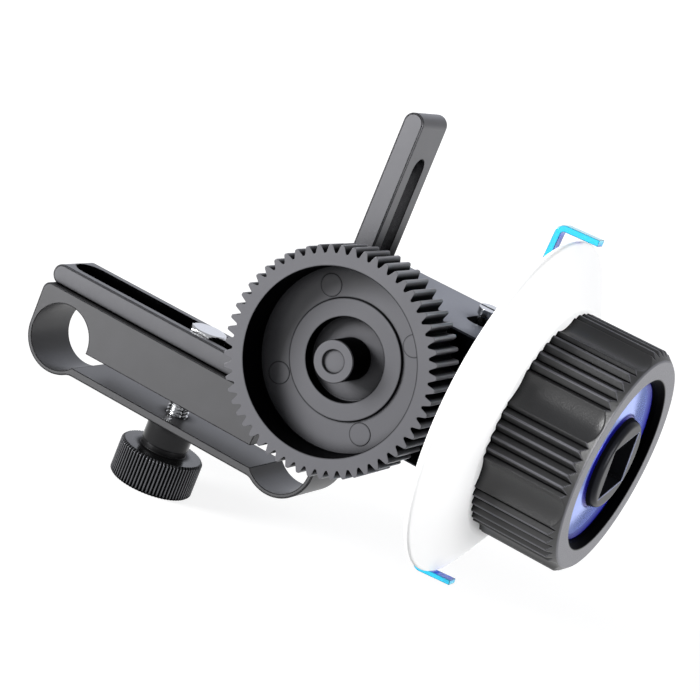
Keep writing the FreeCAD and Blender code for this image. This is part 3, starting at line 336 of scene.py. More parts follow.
wheel_axis = (0.0, 12.5, 30.0)
blue_finish = blue_turned("blue_anodised_turned", wheel_axis, reach=1.8)
ring_finish = blue_turned("blue_anodised_drag_ring", wheel_axis, reach=0.1)
print("blue finishes ready")

# %% [markdown]
# ## Steel, bronze and filmed aluminium
#
# Screws and the clamp bolt are zinc plated: bright, slightly blue and almost mirror smooth.
# Shafts are ground. Plain bearings are pressed from bronze powder, which leaves pores that
# hold oil. The crank socket is turned aluminium with a dark film.

# %% Plated, ground, pressed and filmed metals
def plated(name, colour, roughness, size, depth):
    """A plated or ground metal, with a faint grain."""
    material, tree = start(name)
    shader = add(tree, "ShaderNodeBsdfPrincipled", {
        "Base Color": linear(colour), "Metallic": 1.0, "Roughness": roughness,
        "Normal": grain(tree, size, depth, 0.08)})
    close(tree, shader)
    return material


zinc = plated("zinc_plated_steel", "#c2c3c5", roughness=0.2, size=0.5, depth=0.002)
ground = plated("ground_steel", "#b4b6ba", roughness=0.28, size=0.25, depth=0.002)
bronze = plated("sintered_bronze", "#b07d45", roughness=0.45, size=0.18, depth=0.02)

socket_finish, tree = start("turned_aluminium_dark_film")
# Near-black is painted as shade in hollows and where the mesh's number asks for it, and a pale
# blue-grey as a highlight.
shaded_share = painted_shade(tree, 2.0)
highlighted = blend(tree, highlight_share(tree), cloud(tree, 5.0, "#1b1c1f", "#212226"), "#a2a8c4")
shader = add(tree, "ShaderNodeBsdfPrincipled", {
    "Base Color": blend(tree, shaded_share, highlighted, "#050507"), "Metallic": 0.2,
    "Roughness": dulled(tree, 0.28, shaded_share), "Specular IOR Level": 0.08,
    "Normal": turning_marks(tree, "X", wheel_axis, 1.885, 0.001, 0.15)})
close(tree, shader)
print("metals:", zinc.name, ground.name, bronze.name, socket_finish.name)

# %% [markdown]
# ## Moulded plastics
#
# The gear is injection moulded acetal: dark grey, waxy and softly glossy, with a faint wave in
# the surface where it shrank. The hand wheel is moulded ABS with a spark texture, a fine dull
# grain that gives grip. The marking disc is white ABS, matte enough to write on.

# %% Acetal, textured ABS and white ABS
def moulded(name, dark, light, line, painted_highlight, roughness, gloss, size, depth, reach,
            black=False):
    """An injection moulded plastic with its mould's texture of the given size and depth.

    line is the colour painted as shade, and the next colour is painted as highlights. Where
    black is set, the painted shade hides the gloss too.
    """
    material, tree = start(name)
    # The line colour is painted as shade in slots and where the mesh's number asks for it, and
    # the pale colour as highlights.
    shaded_share = painted_shade(tree, reach, 0.35, 0.85)
    highlighted = blend(tree, highlight_share(tree), cloud(tree, 12.0, dark, light), painted_highlight)
    shader = add(tree, "ShaderNodeBsdfPrincipled", {
        "Base Color": blend(tree, shaded_share, highlighted, line),
        "Roughness": dulled(tree, roughness, shaded_share), "IOR": 1.5, "Specular IOR Level": gloss,
        "Normal": grain(tree, size, depth, 0.0)})
    if black:
        tree.links.new(blackened(tree, 0.0, shaded_share), shader.inputs["Metallic"])
    close(tree, shader)
    return material


acetal = moulded("moulded_acetal_grey", "#5a5a5e", "#606064", "#020203", "#86868a",
                 roughness=0.28, gloss=0.35, size=2.5, depth=0.01, reach=4.0, black=True)
wheel_abs = moulded("spark_textured_abs_black", "#151516", "#1e1e1f", "#010102", "#7c7c84",
                    roughness=0.36, gloss=0.55, size=0.3, depth=0.04, reach=2.5, black=True)
disc_abs = moulded("matte_abs_white", "#fafafa", "#ffffff", "#f4f4f4", "#ffffff",
                   roughness=0.42, gloss=0.5, size=0.4, depth=0.002, reach=0.5)
print("plastics:", acetal.name, wheel_abs.name, disc_abs.name)

# %% [markdown]
# ## Live-edge acrylic
#
# The two pointers are cut from clear acrylic with a fluorescent dye, and bent warm. Light caught
# inside the sheet leaves through the cut edges, so the edges shine bright cyan, the inner face
# looks deep blue and the outer face mirrors the room. These are painted: each pointer's mesh
# carries a number called side, -1 outside, 0 on the cut edges and 1 inside, and a ramp turns it
# into a pale painted reflection outside, a bright cyan on the edges that also glows a little as
# painted light, and deep blue inside.

# %% Edges that shine
pointer_finish, tree = start("live_edge_acrylic_cyan")
side = add(tree, "ShaderNodeAttribute", attribute_name="side")
inward = add(tree, "ShaderNodeMapRange", {"Value": side.outputs["Fac"], "From Min": -1.0,
                                          "From Max": 1.0})
ramp = add(tree, "ShaderNodeValToRGB", {"Fac": inward.outputs[0]})
ramp.color_ramp.elements[0].color = linear("#8fe6f4")
ramp.color_ramp.elements[1].color = linear("#0a4cc0")
ramp.color_ramp.elements.new(0.5).color = linear("#1fbce0")
# A darker teal is painted along the edges as shade, and the emission is a painted glow.
dye_and_painted_light = blend(tree, edge_share(tree, 0.25), ramp.outputs["Color"], "#086884")
shader = add(tree, "ShaderNodeBsdfPrincipled", {
    "Base Color": dye_and_painted_light, "Roughness": 0.06, "IOR": 1.49, "Transmission Weight": 0.1,
    "Emission Color": dye_and_painted_light, "Emission Strength": 0.12, "Normal": grain(tree, 3.0, 0.004, 0.12)})
close(tree, shader)
print("acrylic ready")

# %% [markdown]
# ## Give the solids their finishes
#
# Milled blocks, covers, shafts and small screws have the right shape already, with their
# chamfers, so they only need a material. Each name on the left is one solid of the model.

# %% Dress the solids that stay
DRESS = {
    clamp_finish: ["rod_clamp"],
    bracket_finish: ["bracket"],
    block_finish: ["gearbox_housing", "back_cover", "end_cap", "disc_carrier"],
    knob_finish: ["spacer_collar"],
    zinc: ["back_cover_screws", "pointer_screws", "drag_screw", "lock_washer", "wheel_screw"],
    ground: ["guide_pins", "input_shaft", "output_shaft", "input_clip", "output_clip",
             "input_grub_screw", "output_grub_screw", "input_mitre_gear", "output_mitre_gear"],
    bronze: ["inner_bush", "outer_bush", "output_bush"],
    ring_finish: ["drag_ring"],
}
for finish, names in DRESS.items():
    for name in names:
        nodes[name].data.materials.clear()
        nodes[name].data.materials.append(finish)
print("dressed:", sum(len(names) for names in DRESS.values()), "solids")

# %% [markdown]
# ## From a grid of points to a closed mesh
#
# Almost everything that turns can be described by two numbers: how far round the axis, and how
# far along the outline. Points worked out for every pair of them form a grid, and neighbours
# on the grid become faces. The grid closes on itself round the axis. Along the outline it
# either closes too, as on a ring, or ends in a fan round a point on the axis.

# %% Build a mesh from a grid
def closed_mesh(name, grid, poles=None, shade=None):
    """A mesh with outward faces from grid[i, j]: i runs round the axis, j along the outline.

    poles are the two points on the axis that close an outline which isn't a loop. shade is a
    number for each point that the materials read: 1 is painted shade, -1 is a painted pale
    highlight.
    The sum of the triangles' volumes to the origin is positive when the faces point out.
    """
    around, along = grid.shape[:2]
    here = np.arange(around * along).reshape(around, along)
    points = grid.reshape(-1, 3)
    beside = np.roll(here, -1, axis=0)
    if poles is None:
        after, beside_after = np.roll(here, -1, axis=1), np.roll(beside, -1, axis=1)
        quads = np.stack([here, beside, beside_after, after], axis=-1).reshape(-1, 4)
        fans = np.empty((0, 3), int)
    else:
        quads = np.stack([here[:, :-1], beside[:, :-1], beside[:, 1:], here[:, 1:]],
                         axis=-1).reshape(-1, 4)
        first = np.full(around, len(points))
        fans = np.vstack([np.stack([first, beside[:, 0], here[:, 0]], axis=-1),
                          np.stack([first + 1, here[:, -1], beside[:, -1]], axis=-1)])
        points = np.vstack([points, poles])
    triangles = np.vstack([quads[:, [0, 1, 2]], quads[:, [0, 2, 3]], fans])
    a, b, c = (points[triangles[:, k]] for k in range(3))
    if np.einsum("ij,ij->", a, np.cross(b, c)) < 0:
        quads, fans = quads[:, ::-1], fans[:, ::-1]
    mesh = bpy.data.meshes.new(name)
    mesh.vertices.add(len(points))
    mesh.vertices.foreach_set("co", points.astype(np.float32).ravel())
    mesh.loops.add(quads.size + fans.size)
    mesh.loops.foreach_set("vertex_index", np.concatenate([quads.ravel(), fans.ravel()]))
    mesh.polygons.add(len(quads) + len(fans))
    starts = np.concatenate([np.arange(len(quads)) * 4, quads.size + np.arange(len(fans)) * 3])
    mesh.polygons.foreach_set("loop_start", starts)
    mesh.update(calc_edges=True)
    mesh.shade_smooth()
    if shade is not None:
        values = np.zeros(len(points), np.float32)
        values[:grid[..., 0].size] = np.broadcast_to(shade, grid.shape[:2]).ravel()
        mesh.attributes.new("shade", "FLOAT", "POINT").data.foreach_set("value", values)
    return mesh


def piece(mesh, material, body, replaced=()):
    """Show a mesh as a piece of the object that moves with a body, in place of some solids."""
    thing = bpy.data.objects.new(mesh.name, mesh)
    bpy.context.scene.collection.objects.link(thing)
    mesh.materials.append(material)
    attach(thing, body)
    if replaced:
        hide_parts(*replaced)
    print(f"{mesh.name}: {len(mesh.polygons)} faces, rides on {body}")


# %% [markdown]
# ## Outlines with rounded corners
#
# A lathe or a mould never leaves a perfectly sharp corner. Each corner of an outline is given
# as a place along the axis, a radius, and the size of its round. The round is an arc that
# touches both sides, and one extra point beyond each end of the arc keeps the flat sides flat
# under smooth shading.

# %% Round the corners of an outline
def rounded(corners, closed=True, steps=5):
    """Points of an outline. Each corner is (along, radius, round).

    The arc touches the sides at round / tan(half the corner's angle) from the corner, and its
    centre lies round / sin(half the angle) from the corner on the line that halves the angle.
    """
    spots = np.array([corner[:2] for corner in corners], float)
    points = []
    for index, (spot, corner) in enumerate(zip(spots, corners)):
        at_end = not closed and index in (0, len(corners) - 1)
        if at_end or corner[2] == 0:
            points.append(spot[None])
            continue
        back = spots[index - 1] - spot
        onward = spots[(index + 1) % len(spots)] - spot
        back, onward = back / np.linalg.norm(back), onward / np.linalg.norm(onward)
        half = math.acos(float(np.clip(back @ onward, -1, 1))) / 2
        reach = corner[2] / math.tan(half)
        middle = (back + onward) / np.linalg.norm(back + onward)
        centre = spot + middle * corner[2] / math.sin(half)
        share = np.linspace(-1, 1, steps)[:, None] * (math.pi / 2 - half)
        side = (onward - back) / np.linalg.norm(onward - back)
        arc = centre + corner[2] * (side * np.sin(share) - middle * np.cos(share))
        extra = corner[2] * 0.35
        points += [(spot + back * (reach + extra))[None], arc,
                   (spot + onward * (reach + extra))[None]]
    return np.vstack(points)


def about(axis, centre, angle, along, radius):
    """Points in metres at an angle about an axis through the centre, all sizes in mm.

    Round X the angle starts at +Y, and round Y and Z it starts at +X.
    """
    one, other = radius * np.cos(angle), radius * np.sin(angle)
    order = {"X": (along, one, other), "Y": (one, along, other), "Z": (one, other, along)}
    return (np.stack(np.broadcast_arrays(*order[axis]), axis=-1) + np.array(centre)) * mm


def full_turn(count):
    """Angles of a full turn, as a column."""
    return (np.arange(count) * (2 * math.pi / count))[:, None]


def lower(a, b, width):
    """The lower of two values, with the crossing smoothed over the width."""
    return (a + b - np.sqrt((a - b) ** 2 + width ** 2)) / 2


def higher(a, b, width):
    """The higher of two values, with the crossing smoothed over the width."""
    return (a + b + np.sqrt((a - b) ** 2 + width ** 2)) / 2


def near(along, radius, corners, reach):
    """1 at the given corners of an outline, falling to 0 at 1.3 times the reach from them."""
    gap = np.min([np.hypot(along - a, radius - r) for a, r in corners], axis=0)
    return np.clip(1.3 - gap / reach, 0, 1)


def fold(angle, centre, period):
    """Angle from the nearest of the centres that repeat with the period."""
    return (angle - centre + period / 2) % period - period / 2


print("a 1 mm round becomes", len(rounded([(0, 1, 0), (0, 3, 1), (2, 3, 0)], closed=False)) - 2,
      "points")

# %% [markdown]
# ## Hand wheel
#
# The wheel has eight groups of five V grooves, and a round finger scallop between each pair of
# groups. Cutting them one by one with booleans would leave knife edges. Here the outer wall is
# one function instead: at each angle and place the radius is the lowest of the wheel's own
# outline, the nearest groove and the nearest scallop, and the crossings are smoothed, as the
# mould's edges are. The scallops end in a ball shape before the front rim.

# %% Hand wheel surface
wheel_back, wheel_front, wheel_radius, wall_from = 75.2, 94.7, 25.3, 23.0
group_pitch, first_group = math.radians(45), math.radians(177.5)
groove_pitch, groove_root, groove_half_angle = math.radians(6), 24.3, math.radians(50)
# A scallop is a round channel about a line outside the wheel, and a ball past the line's end.
first_scallop, channel, channel_centre, channel_end = math.radians(155), 6.8, 30.5, 92.6
beyond = 40.0

turn = full_turn(1152)
outline = rounded(
    [(wheel_back, 21.5, 0.2), (wheel_back, wheel_radius, 0.25), (82.0, wheel_radius, 0)]
    + [(x, wheel_radius, 0) for x in np.linspace(88.5, 92.7, 12)]
    + [(92.9 + 0.18 * k, 25.27 - 0.17 * k, 0) for k in range(1, 9)]
    + [(wheel_front, 23.5, 0.35), (wheel_front, 19.4, 0.6), (93.4, 18.5, 0.6),
       (91.8, 18.2, 0.15), (89.0, 18.2, 0.1), (89.0, 10.2, 0), (84.0, 10.2, 0), (84.0, 2.5, 0),
       (wheel_back, 2.5, 0), (wheel_back, 13.0, 0.2), (85.0, 13.0, 0.3), (85.0, 21.5, 0.3)],
    steps=4)
along, radius = outline[None, :, 0], outline[None, :, 1]

in_group = fold(turn, first_group, group_pitch)
groove = np.clip(np.round(in_group / groove_pitch), -2, 2) * groove_pitch
from_groove = np.sqrt((wheel_radius * (in_group - groove)) ** 2 + 0.06 ** 2)
groove_radius = groove_root + from_groove / math.tan(groove_half_angle)

from_scallop = fold(turn, first_scallop, group_pitch)
ball = channel ** 2 - np.clip(along - channel_end, 0, None) ** 2
chord = ball - (channel_centre * np.sin(from_scallop)) ** 2
scallop_radius = channel_centre * np.cos(from_scallop) - np.sqrt(np.abs(chord))
scallop_radius = np.where(chord > 0, scallop_radius, beyond)

cut_radius = lower(groove_radius, scallop_radius, 0.1)
wall = np.where(radius > wall_from, lower(radius, cut_radius, 0.05), radius)
# Shade is painted dark in the grooves and on the opening's wall, and the lands' edges and the
# front face are painted paler as highlights.
groove_dark_below = 24.55
outside = (radius > wall_from) & (along > wheel_back + 0.1)
in_groove = outside & (groove_radius < scallop_radius)
deep = np.clip((groove_dark_below - groove_radius) / 0.15, 0, 1)
deep = deep * in_groove * (groove_radius < radius)
painted_highlight = np.clip(1 - np.abs(radius - groove_radius) / 0.12, 0, 1) * in_groove * 0.7
opening = ((radius < 19.45) & (radius > 17.0) & (along > 88.9)) * 1.0
front = ((radius > 19.6) & (along > wheel_front - 0.2)) * 0.5
wheel_mesh = closed_mesh("ribbed_wheel", about("X", wheel_axis, turn, along, wall),
                         shade=deep - painted_highlight + opening - front)
piece(wheel_mesh, wheel_abs, "hand_wheel", ["hand_wheel"])

# %% [markdown]
# ## Marking disc
#
# The white disc behind the wheel is a shallow cone, so that the assistant sees the pencil marks
# from the side. It is one outline turned about the wheel's axis, with a soft outer rim.

# %% Marking disc surface
outline = rounded([(73.2, 2.5, 0.1), (73.2, 25.79, 0.6), (66.747, 37.537, 0.7),
                   (68.5, 38.5, 0.7), (75.2, 26.3, 0.6), (75.2, 2.5, 0.1)], steps=9)
disc_grid = about("X", wheel_axis, full_turn(480), outline[None, :, 0], outline[None, :, 1])
piece(closed_mesh("white_marking_disc", disc_grid), disc_abs, "hand_wheel",
      ["marking_disc"])

# %% [markdown]
# ## Blue dish and crank socket
#
# The dish sags a little between the boss and its rim, which turns the flat cone into a soft
# mirror. The crank socket is a round boss with a square hole: its outline is round outside and
# the square's own radius inside, half its width divided by the cosine of the angle from the
# middle of the nearest side.

# %% Dish and socket surfaces
dish_top, dish_fall, dish_sag, dish_inner, dish_width = 92.6, 1.0, 0.8, 10.5, 7.0
dish = [(dish_top - dish_fall * t - dish_sag * t * (1 - t), dish_inner + dish_width * t, 0)
        for t in np.linspace(0, 1, 17)]
outline = rounded([(89.0, 10.19, 0.1), (93.1, 10.19, 0)] + dish
                  + [(92.3, 17.95, 0), (92.4, 18.19, 0), (89.0, 18.19, 0.1)])
dish_grid = about("X", wheel_axis, full_turn(256), outline[None, :, 0], outline[None, :, 1])
# Deep blue is painted as shade along the dish's outer edge and beside the boss.
rim_line = np.clip((outline[None, :, 1] - 17.2) / 0.4, 0, 1)
boss_line = np.clip((10.9 - outline[None, :, 1]) / 0.4, 0, 1)
piece(closed_mesh("blue_dish", dish_grid, shade=rim_line + boss_line), blue_finish,
      "hand_wheel", ["wheel_dish"])

bore, boss, square_half, square_corner = 1.25, 10.185, 6.0, 8.35
socket_foot, square_floor, socket_face = 84.0, 87.0, 95.0
turn = full_turn(384)
outline = rounded([(socket_foot, bore, 0.1), (socket_foot, boss, 0.1), (92.9, boss, 0.4),
                   (socket_face, 9.6, 1.1), (socket_face, square_half, 0.2),
                   (square_floor, square_half, 0.1), (square_floor, bore, 0.1)])
along, radius = outline[None, :, 0], outline[None, :, 1]
from_side = fold(turn, math.radians(15), math.radians(90))
corner_reach = lower(square_half / np.cos(from_side), square_corner, 0.08) - square_half
# The square counts fully at 6 mm from the axis, and not at all on the round parts.
square_share = np.clip((radius - bore) / 4.6, 0, 1) * np.clip((9.0 - radius) / 2.7, 0, 1)
square_share = square_share * (along > square_floor - 0.5)
socket_grid = about("X", wheel_axis, turn, along, radius + corner_reach * square_share)
# The boss's side is painted dark as shade, and a pale highlight is painted along the square's
# edge.
socket_shade = ((along < 94.0) & (radius > 9.0)) * 1.0
socket_shade = socket_shade - near(along, radius, [(socket_face, square_half)], 0.2)
piece(closed_mesh("square_crank_socket", socket_grid, shade=socket_shade), socket_finish,
      "hand_wheel", ["crank_socket"])

# %% [markdown]
# ## Drive gear
#
# The gear has 57 teeth of module 0.8 and a deep front. Modelling one tooth and copying it would
# leave a seam at every copy. Instead the rim's radius is a function of the angle: it climbs
# from the root to the tip along the flank, with both crossings smoothed. The same rim radius
# stretches the front and back faces, so the whole gear is one closed surface.

# %% Drive gear surface
gear_axis = (41.0, 0.0, 30.0)
teeth_count, module, pressure_angle, points_per_tooth = 57, 0.8, math.radians(20), 22
pitch_radius = teeth_count * module / 2
tip_radius, root_radius, rim_inside = 23.6, 21.8, 20.6
recess, ring, pocket = 19.2, 12.6, 8.75
teeth_front, teeth_back = -22.3, -11.2
floor_level, ring_level, pocket_level = -14.15, -14.7, -11.5
land_from, gap_fade = 23.4, 0.8

turn = full_turn(teeth_count * points_per_tooth)
outline = rounded([(-8.5, 2.5, 0.1), (-8.5, 10.0, 0.3), (teeth_back, 10.0, 0.3),
                   (teeth_back, tip_radius, 0.15), (teeth_front, tip_radius, 0.15),
                   (teeth_front, recess + 0.4, 0), (teeth_front, recess, 0.12),
                   (floor_level, recess, 0.15), (floor_level, recess - 0.4, 0),
                   (floor_level, ring + 0.4, 0), (floor_level, ring, 0.1),
                   (ring_level, ring, 0.1), (ring_level, ring - 0.4, 0),
                   (ring_level, pocket + 0.4, 0), (ring_level, pocket, 0.12),
                   (pocket_level, pocket, 0.2), (pocket_level, pocket - 0.4, 0),
                   (pocket_level, 2.5, 0.1)], steps=4)
along, radius = outline[None, :, 0], outline[None, :, 1]
tooth_pitch = 2 * math.pi / teeth_count
from_gap = np.abs(fold(turn, math.radians(90.6), tooth_pitch)) * pitch_radius
flank = pitch_radius + (from_gap - math.pi * module / 4) / math.tan(pressure_angle)
rim = lower(higher(flank, root_radius, 0.25), tip_radius, 0.22)
teeth = rim_inside + (radius - rim_inside) * (rim - rim_inside) / (tip_radius - rim_inside)
gear_wall = np.where(radius > rim_inside, teeth, radius)
# Shade is painted dark in the tooth gaps, at the inner corners and on the recess's and pocket's
# walls, and the lands are painted pale as highlights.
gaps = np.clip((land_from - rim) / gap_fade, 0, 1) - 0.3 * (rim > land_from)
on_rim = (radius > tip_radius - 0.1) & (along > teeth_front + 0.1) & (along < teeth_back - 0.1)
gaps = gaps * on_rim
corners = near(along, radius, [(teeth_front, recess), (floor_level, recess), (floor_level, ring),
                               (ring_level, ring), (ring_level, pocket),
                               (pocket_level, pocket)], 0.22)
recess_wall = ((np.abs(radius - recess) < 0.02) | (np.abs(radius - pocket) < 0.02)) * 1.0
gear_shade = np.clip(gaps + corners + recess_wall, -1, 1)
gear_mesh = closed_mesh("moulded_drive_gear", about("Y", gear_axis, turn, along, gear_wall),
                        shade=gear_shade)
piece(gear_mesh, acetal, "drive_gear", ["drive_gear"])

# %% [markdown]
# ## Ejector marks and the gear's post
#
# Four pins pushed the gear out of its mould and left round witness marks on the floor, a hair
# proud of it. They are low domed pads that stand on the floor. The post in the middle is a
# moulded screw with a shallow round recess.

# %% Ejector marks and post
pad_foot, pad_face, pad_radius, pads_from_axis = -14.05, -14.24, 2.4, 15.4
pad_turn = full_turn(64)
pad_outline = rounded([(pad_foot, 0.3, 0), (pad_foot, pad_radius, 0.03),
                       (pad_face, pad_radius, 0.06), (pad_face, 2.25, 0), (pad_face, 2.0, 0),
                       (pad_face, 0.3, 0)], closed=False)
# A dark ring is painted as shade round the edge of each mark.
pad_shade = np.clip((pad_outline[None, :, 1] - 2.2) / 0.12, 0, 0.8)
for quarter in range(4):
    spot = math.radians(36 + 90 * quarter)
    centre = (gear_axis[0] + pads_from_axis * math.cos(spot), 0.0,
              gear_axis[2] + pads_from_axis * math.sin(spot))
    pad_grid = about("Y", centre, pad_turn, pad_outline[None, :, 0], pad_outline[None, :, 1])
    pad_poles = np.array([(centre[0], y, centre[2]) for y in (pad_foot, pad_face)]) * mm
    piece(closed_mesh(f"ejector_mark_{quarter + 1}", pad_grid, pad_poles, pad_shade), acetal,
          "drive_gear")

dimple_floor, post_face, post_tail = -19.5, -20.1, -5.5
dimple, post_radius = 2.4, 4.4
outline = rounded([(dimple_floor, 0.3, 0), (dimple_floor, 2.1, 0), (dimple_floor, dimple, 0.1),
                   (post_face, dimple, 0.1), (post_face, 2.7, 0), (post_face, 4.0, 0),
                   (post_face, post_radius, 0.15), (-19.6, post_radius, 0),
                   (pocket_level, post_radius, 0.1), (pocket_level, 1.25, 0.05),
                   (post_tail, 1.25, 0.1), (post_tail, 0.3, 0)], closed=False)
post_grid = about("Y", gear_axis, full_turn(128), outline[None, :, 0], outline[None, :, 1])
post_poles = np.array([(gear_axis[0], y, gear_axis[2]) for y in (dimple_floor, post_tail)]) * mm
along, radius = outline[None, :, 0], outline[None, :, 1]
# Shade is painted dark on the post's side next to its face and at its corners.
post_shade = (np.clip((along + 19.9) / 0.2, 0, 1) * (radius > 4.3)
              + near(along, radius, [(post_face, dimple), (dimple_floor, dimple),
                                      (post_face, post_radius)], 0.16))
piece(closed_mesh("gear_post", post_grid, post_poles, np.clip(post_shade, 0, 1)), acetal,
      "drive_gear", ["gear_retainer"])

# %% [markdown]
# ## Clamp bolt
#
# The bolt's thread shows in the gap of the clamp. A thread is a wave that runs round the shank
# and up it at once: the radius depends on the height divided by the pitch, less the part of
# the turn already made. The head is a hexagon, trimmed by a cone as a real one is turned.

# %% Threaded bolt surface
def thread(turn, along, outer, depth, pitch):
    """Radius of a thread: a smooth wave of the pitch, its crest at outer."""
    wave = np.cos(2 * math.pi * along / pitch - turn)
    return outer - depth * (0.5 - 0.5 * wave)


bolt_axis = (0.0, 7.8, 0.0)
bolt_foot, bolt_top = -20.18, 15.65
thread_radius, thread_depth, thread_pitch = 2.5, 0.42, 0.8
head_half_width = 4.0
turn = full_turn(96)
shank = np.arange(-19.9, 12.0, 0.1)[None]
head = np.array([12.15, 12.15, 12.3, 15.0, 15.2, 15.4, 15.55, bolt_top, bolt_top])[None]
from_flat = fold(turn, math.radians(90), math.radians(60))
hexagon = head_half_width / np.cos(from_flat)
cone = np.array([2.5, 4.0, 4.6, 4.75, 4.5, 4.15, 3.9, 3.7, 2.0])[None]
bolt_along = np.concatenate([[[bolt_foot, bolt_foot]], shank, head], axis=1)
bolt_radius = np.concatenate([
    np.broadcast_to([[1.0, 2.0]], (len(turn), 2)),
    thread(turn, shank, thread_radius, thread_depth, thread_pitch),
    lower(hexagon, cone, 0.05)], axis=1)
bolt_grid = about("Z", bolt_axis, turn, bolt_along, bolt_radius)
bolt_poles = np.array([(0.0, bolt_axis[1], z) for z in (bolt_foot, bolt_top)]) * mm
bolt_mesh = closed_mesh("threaded_clamp_bolt", bolt_grid, bolt_poles)
bolt_mesh.set_sharp_from_angle(angle=math.radians(24))
piece(bolt_mesh, zinc, "clamp", ["clamp_bolt"])

# %% [markdown]
# ## Knurled knobs
#
# A straight knurl is rolled into the rim: rounded ridges side by side, with narrow valleys. The
# ridges are a cosine round the rim, raised to a power that widens the crests. They fade out on
# the chamfers, because only the rim's own radius is changed.

# %% Knob surfaces
knurl_depth, points_per_ridge = 0.36, 12


def valley(turn, ridges):
    """0 on the crest of each ridge, 1 in the valley beside it."""
    return (0.5 - 0.5 * np.cos(ridges * turn)) ** 1.5


def knurl(turn, radius, rim, ridges):
    """Radius with ridges cut where it comes within 1.2 mm of the rim."""
    share = np.clip((radius - (rim - 1.2)) / 1.2, 0, 1)
    return radius - knurl_depth * valley(turn, ridges) * share


def knurl_shade(turn, radius, rim_from, ridges):
    """Shade painted in the valleys and highlights painted on the crests, beyond a radius."""
    return np.clip((1.4 * valley(turn, ridges) - 0.4) * (radius > rim_from), -1, 1)


knob_top, knob_foot, knob_bore_end, knob_rim, knob_ridges = -13.68, -21.98, -20.88, 9.55, 72
turn = full_turn(knob_ridges * points_per_ridge)
outline = rounded([(knob_bore_end, 0.3, 0), (knob_bore_end, 2.55, 0.1), (-12.23, 2.55, 0.1),
                   (-12.23, 5.2, 0.25), (knob_top, 5.2, 0.2), (knob_top, 9.1, 0.2),
                   (-14.18, knob_rim, 0.2), (-21.48, knob_rim, 0.2), (knob_foot, 9.05, 0.2),
                   (knob_foot, 0.3, 0)], closed=False, steps=4)
along, radius = outline[None, :, 0], outline[None, :, 1]
knob_grid = about("Z", bolt_axis, turn, along, knurl(turn, radius, knob_rim, knob_ridges))
knob_poles = np.array([(0.0, bolt_axis[1], z) for z in (knob_bore_end, knob_foot)]) * mm
knob_mesh = closed_mesh("knurled_clamp_knob", knob_grid, knob_poles,
                        knurl_shade(turn, radius, 9.2, knob_ridges))
piece(knob_mesh, knob_finish, "clamp_knob", ["clamp_knob"])

lock_axis = (0.0, 7.8, 30.0)
lock_face, lock_back, stud_end, lock_rim, lock_ridges = 15.0, 25.5, 34.5, 7.5, 48
turn = full_turn(lock_ridges * points_per_ridge)
outline = rounded([(lock_face, 0.3, 0), (lock_face, 7.05, 0.2), (15.5, lock_rim, 0.2),
                   (25.0, lock_rim, 0.2), (lock_back, 7.05, 0.2),
                   (lock_back, thread_radius, 0.1)]
                  + [(x, thread_radius, 0) for x in np.arange(25.7, 34.3, 0.1)]
                  + [(stud_end, 2.1, 0), (stud_end, 0.3, 0)], closed=False, steps=4)
along, radius = outline[None, :, 0], outline[None, :, 1]
stud = thread(turn, along, thread_radius, thread_depth, thread_pitch)
on_stud = (along > 25.6) & (along < 34.4)
lock_radius = np.where(on_stud, stud, knurl(turn, radius, lock_rim, lock_ridges))
lock_poles = np.array([(x, *lock_axis[1:]) for x in (lock_face, stud_end)]) * mm
lock_mesh = closed_mesh("knurled_lock_knob", about("X", lock_axis, turn, along, lock_radius),
                        lock_poles, knurl_shade(turn, radius, 7.2, lock_ridges))
piece(lock_mesh, knob_finish, "lock_knob", ["lock_knob"])

# %% [markdown]
# ## Pointers
#
# A pointer is a strip of sheet with one bend, that reaches over the disc's rim so that a
# pencil mark lines up with it. Its outline across is a small rounded rectangle, and that
# outline is carried along the strip's middle line. Bent by hand over a heater, the strip isn't
# quite square: the arm over the rim rises a little.

# %% Pointer surfaces
strip_y = 11.2


def strip(name, middle_line, thickness, inside):
    """A strip of sheet along a line in the X and Z plane.

    Each section is the rounded rectangle, across from side to side along Y, and through the
    thickness along the line's normal. inside is 1 or -1, the normal's sense that is inner.
    """
    half = thickness / 2
    section = rounded([(-half, -1.0, 0.1), (half, -1.0, 0.1), (half, 1.0, 0.1),
                       (-half, 1.0, 0.1)], steps=3)
    step = np.gradient(middle_line, axis=0)
    step /= np.linalg.norm(step, axis=1)[:, None]
    normal = np.stack([step[:, 1], -step[:, 0]], axis=-1)
    # Half the width is 2.5 mm up to 13 mm from the wheel's axis, and 1.5 mm from 17 mm on.
    wide = np.interp(np.abs(middle_line[:, 1] - wheel_axis[2]), [13.0, 17.0], [2.5, 1.5])
    x = middle_line[None, :, 0] + section[:, None, 0] * normal[None, :, 0]
    z = middle_line[None, :, 1] + section[:, None, 0] * normal[None, :, 1]
    y = strip_y + section[:, None, 1] * wide[None]
    ends = np.array([(middle_line[k, 0], strip_y, middle_line[k, 1]) for k in (0, -1)]) * mm
    mesh = closed_mesh(name, np.stack([x, y, z], axis=-1) * mm, ends)
    mesh.set_sharp_from_angle(angle=math.radians(40))
    face = np.where(np.abs(section[:, 1]) > 0.98, 0.0, np.sign(section[:, 0]) * inside)
    values = np.concatenate([np.repeat(face, len(middle_line)), [0.0, 0.0]])
    mesh.attributes.new("side", "FLOAT", "POINT").data.foreach_set("value", values)
    return mesh


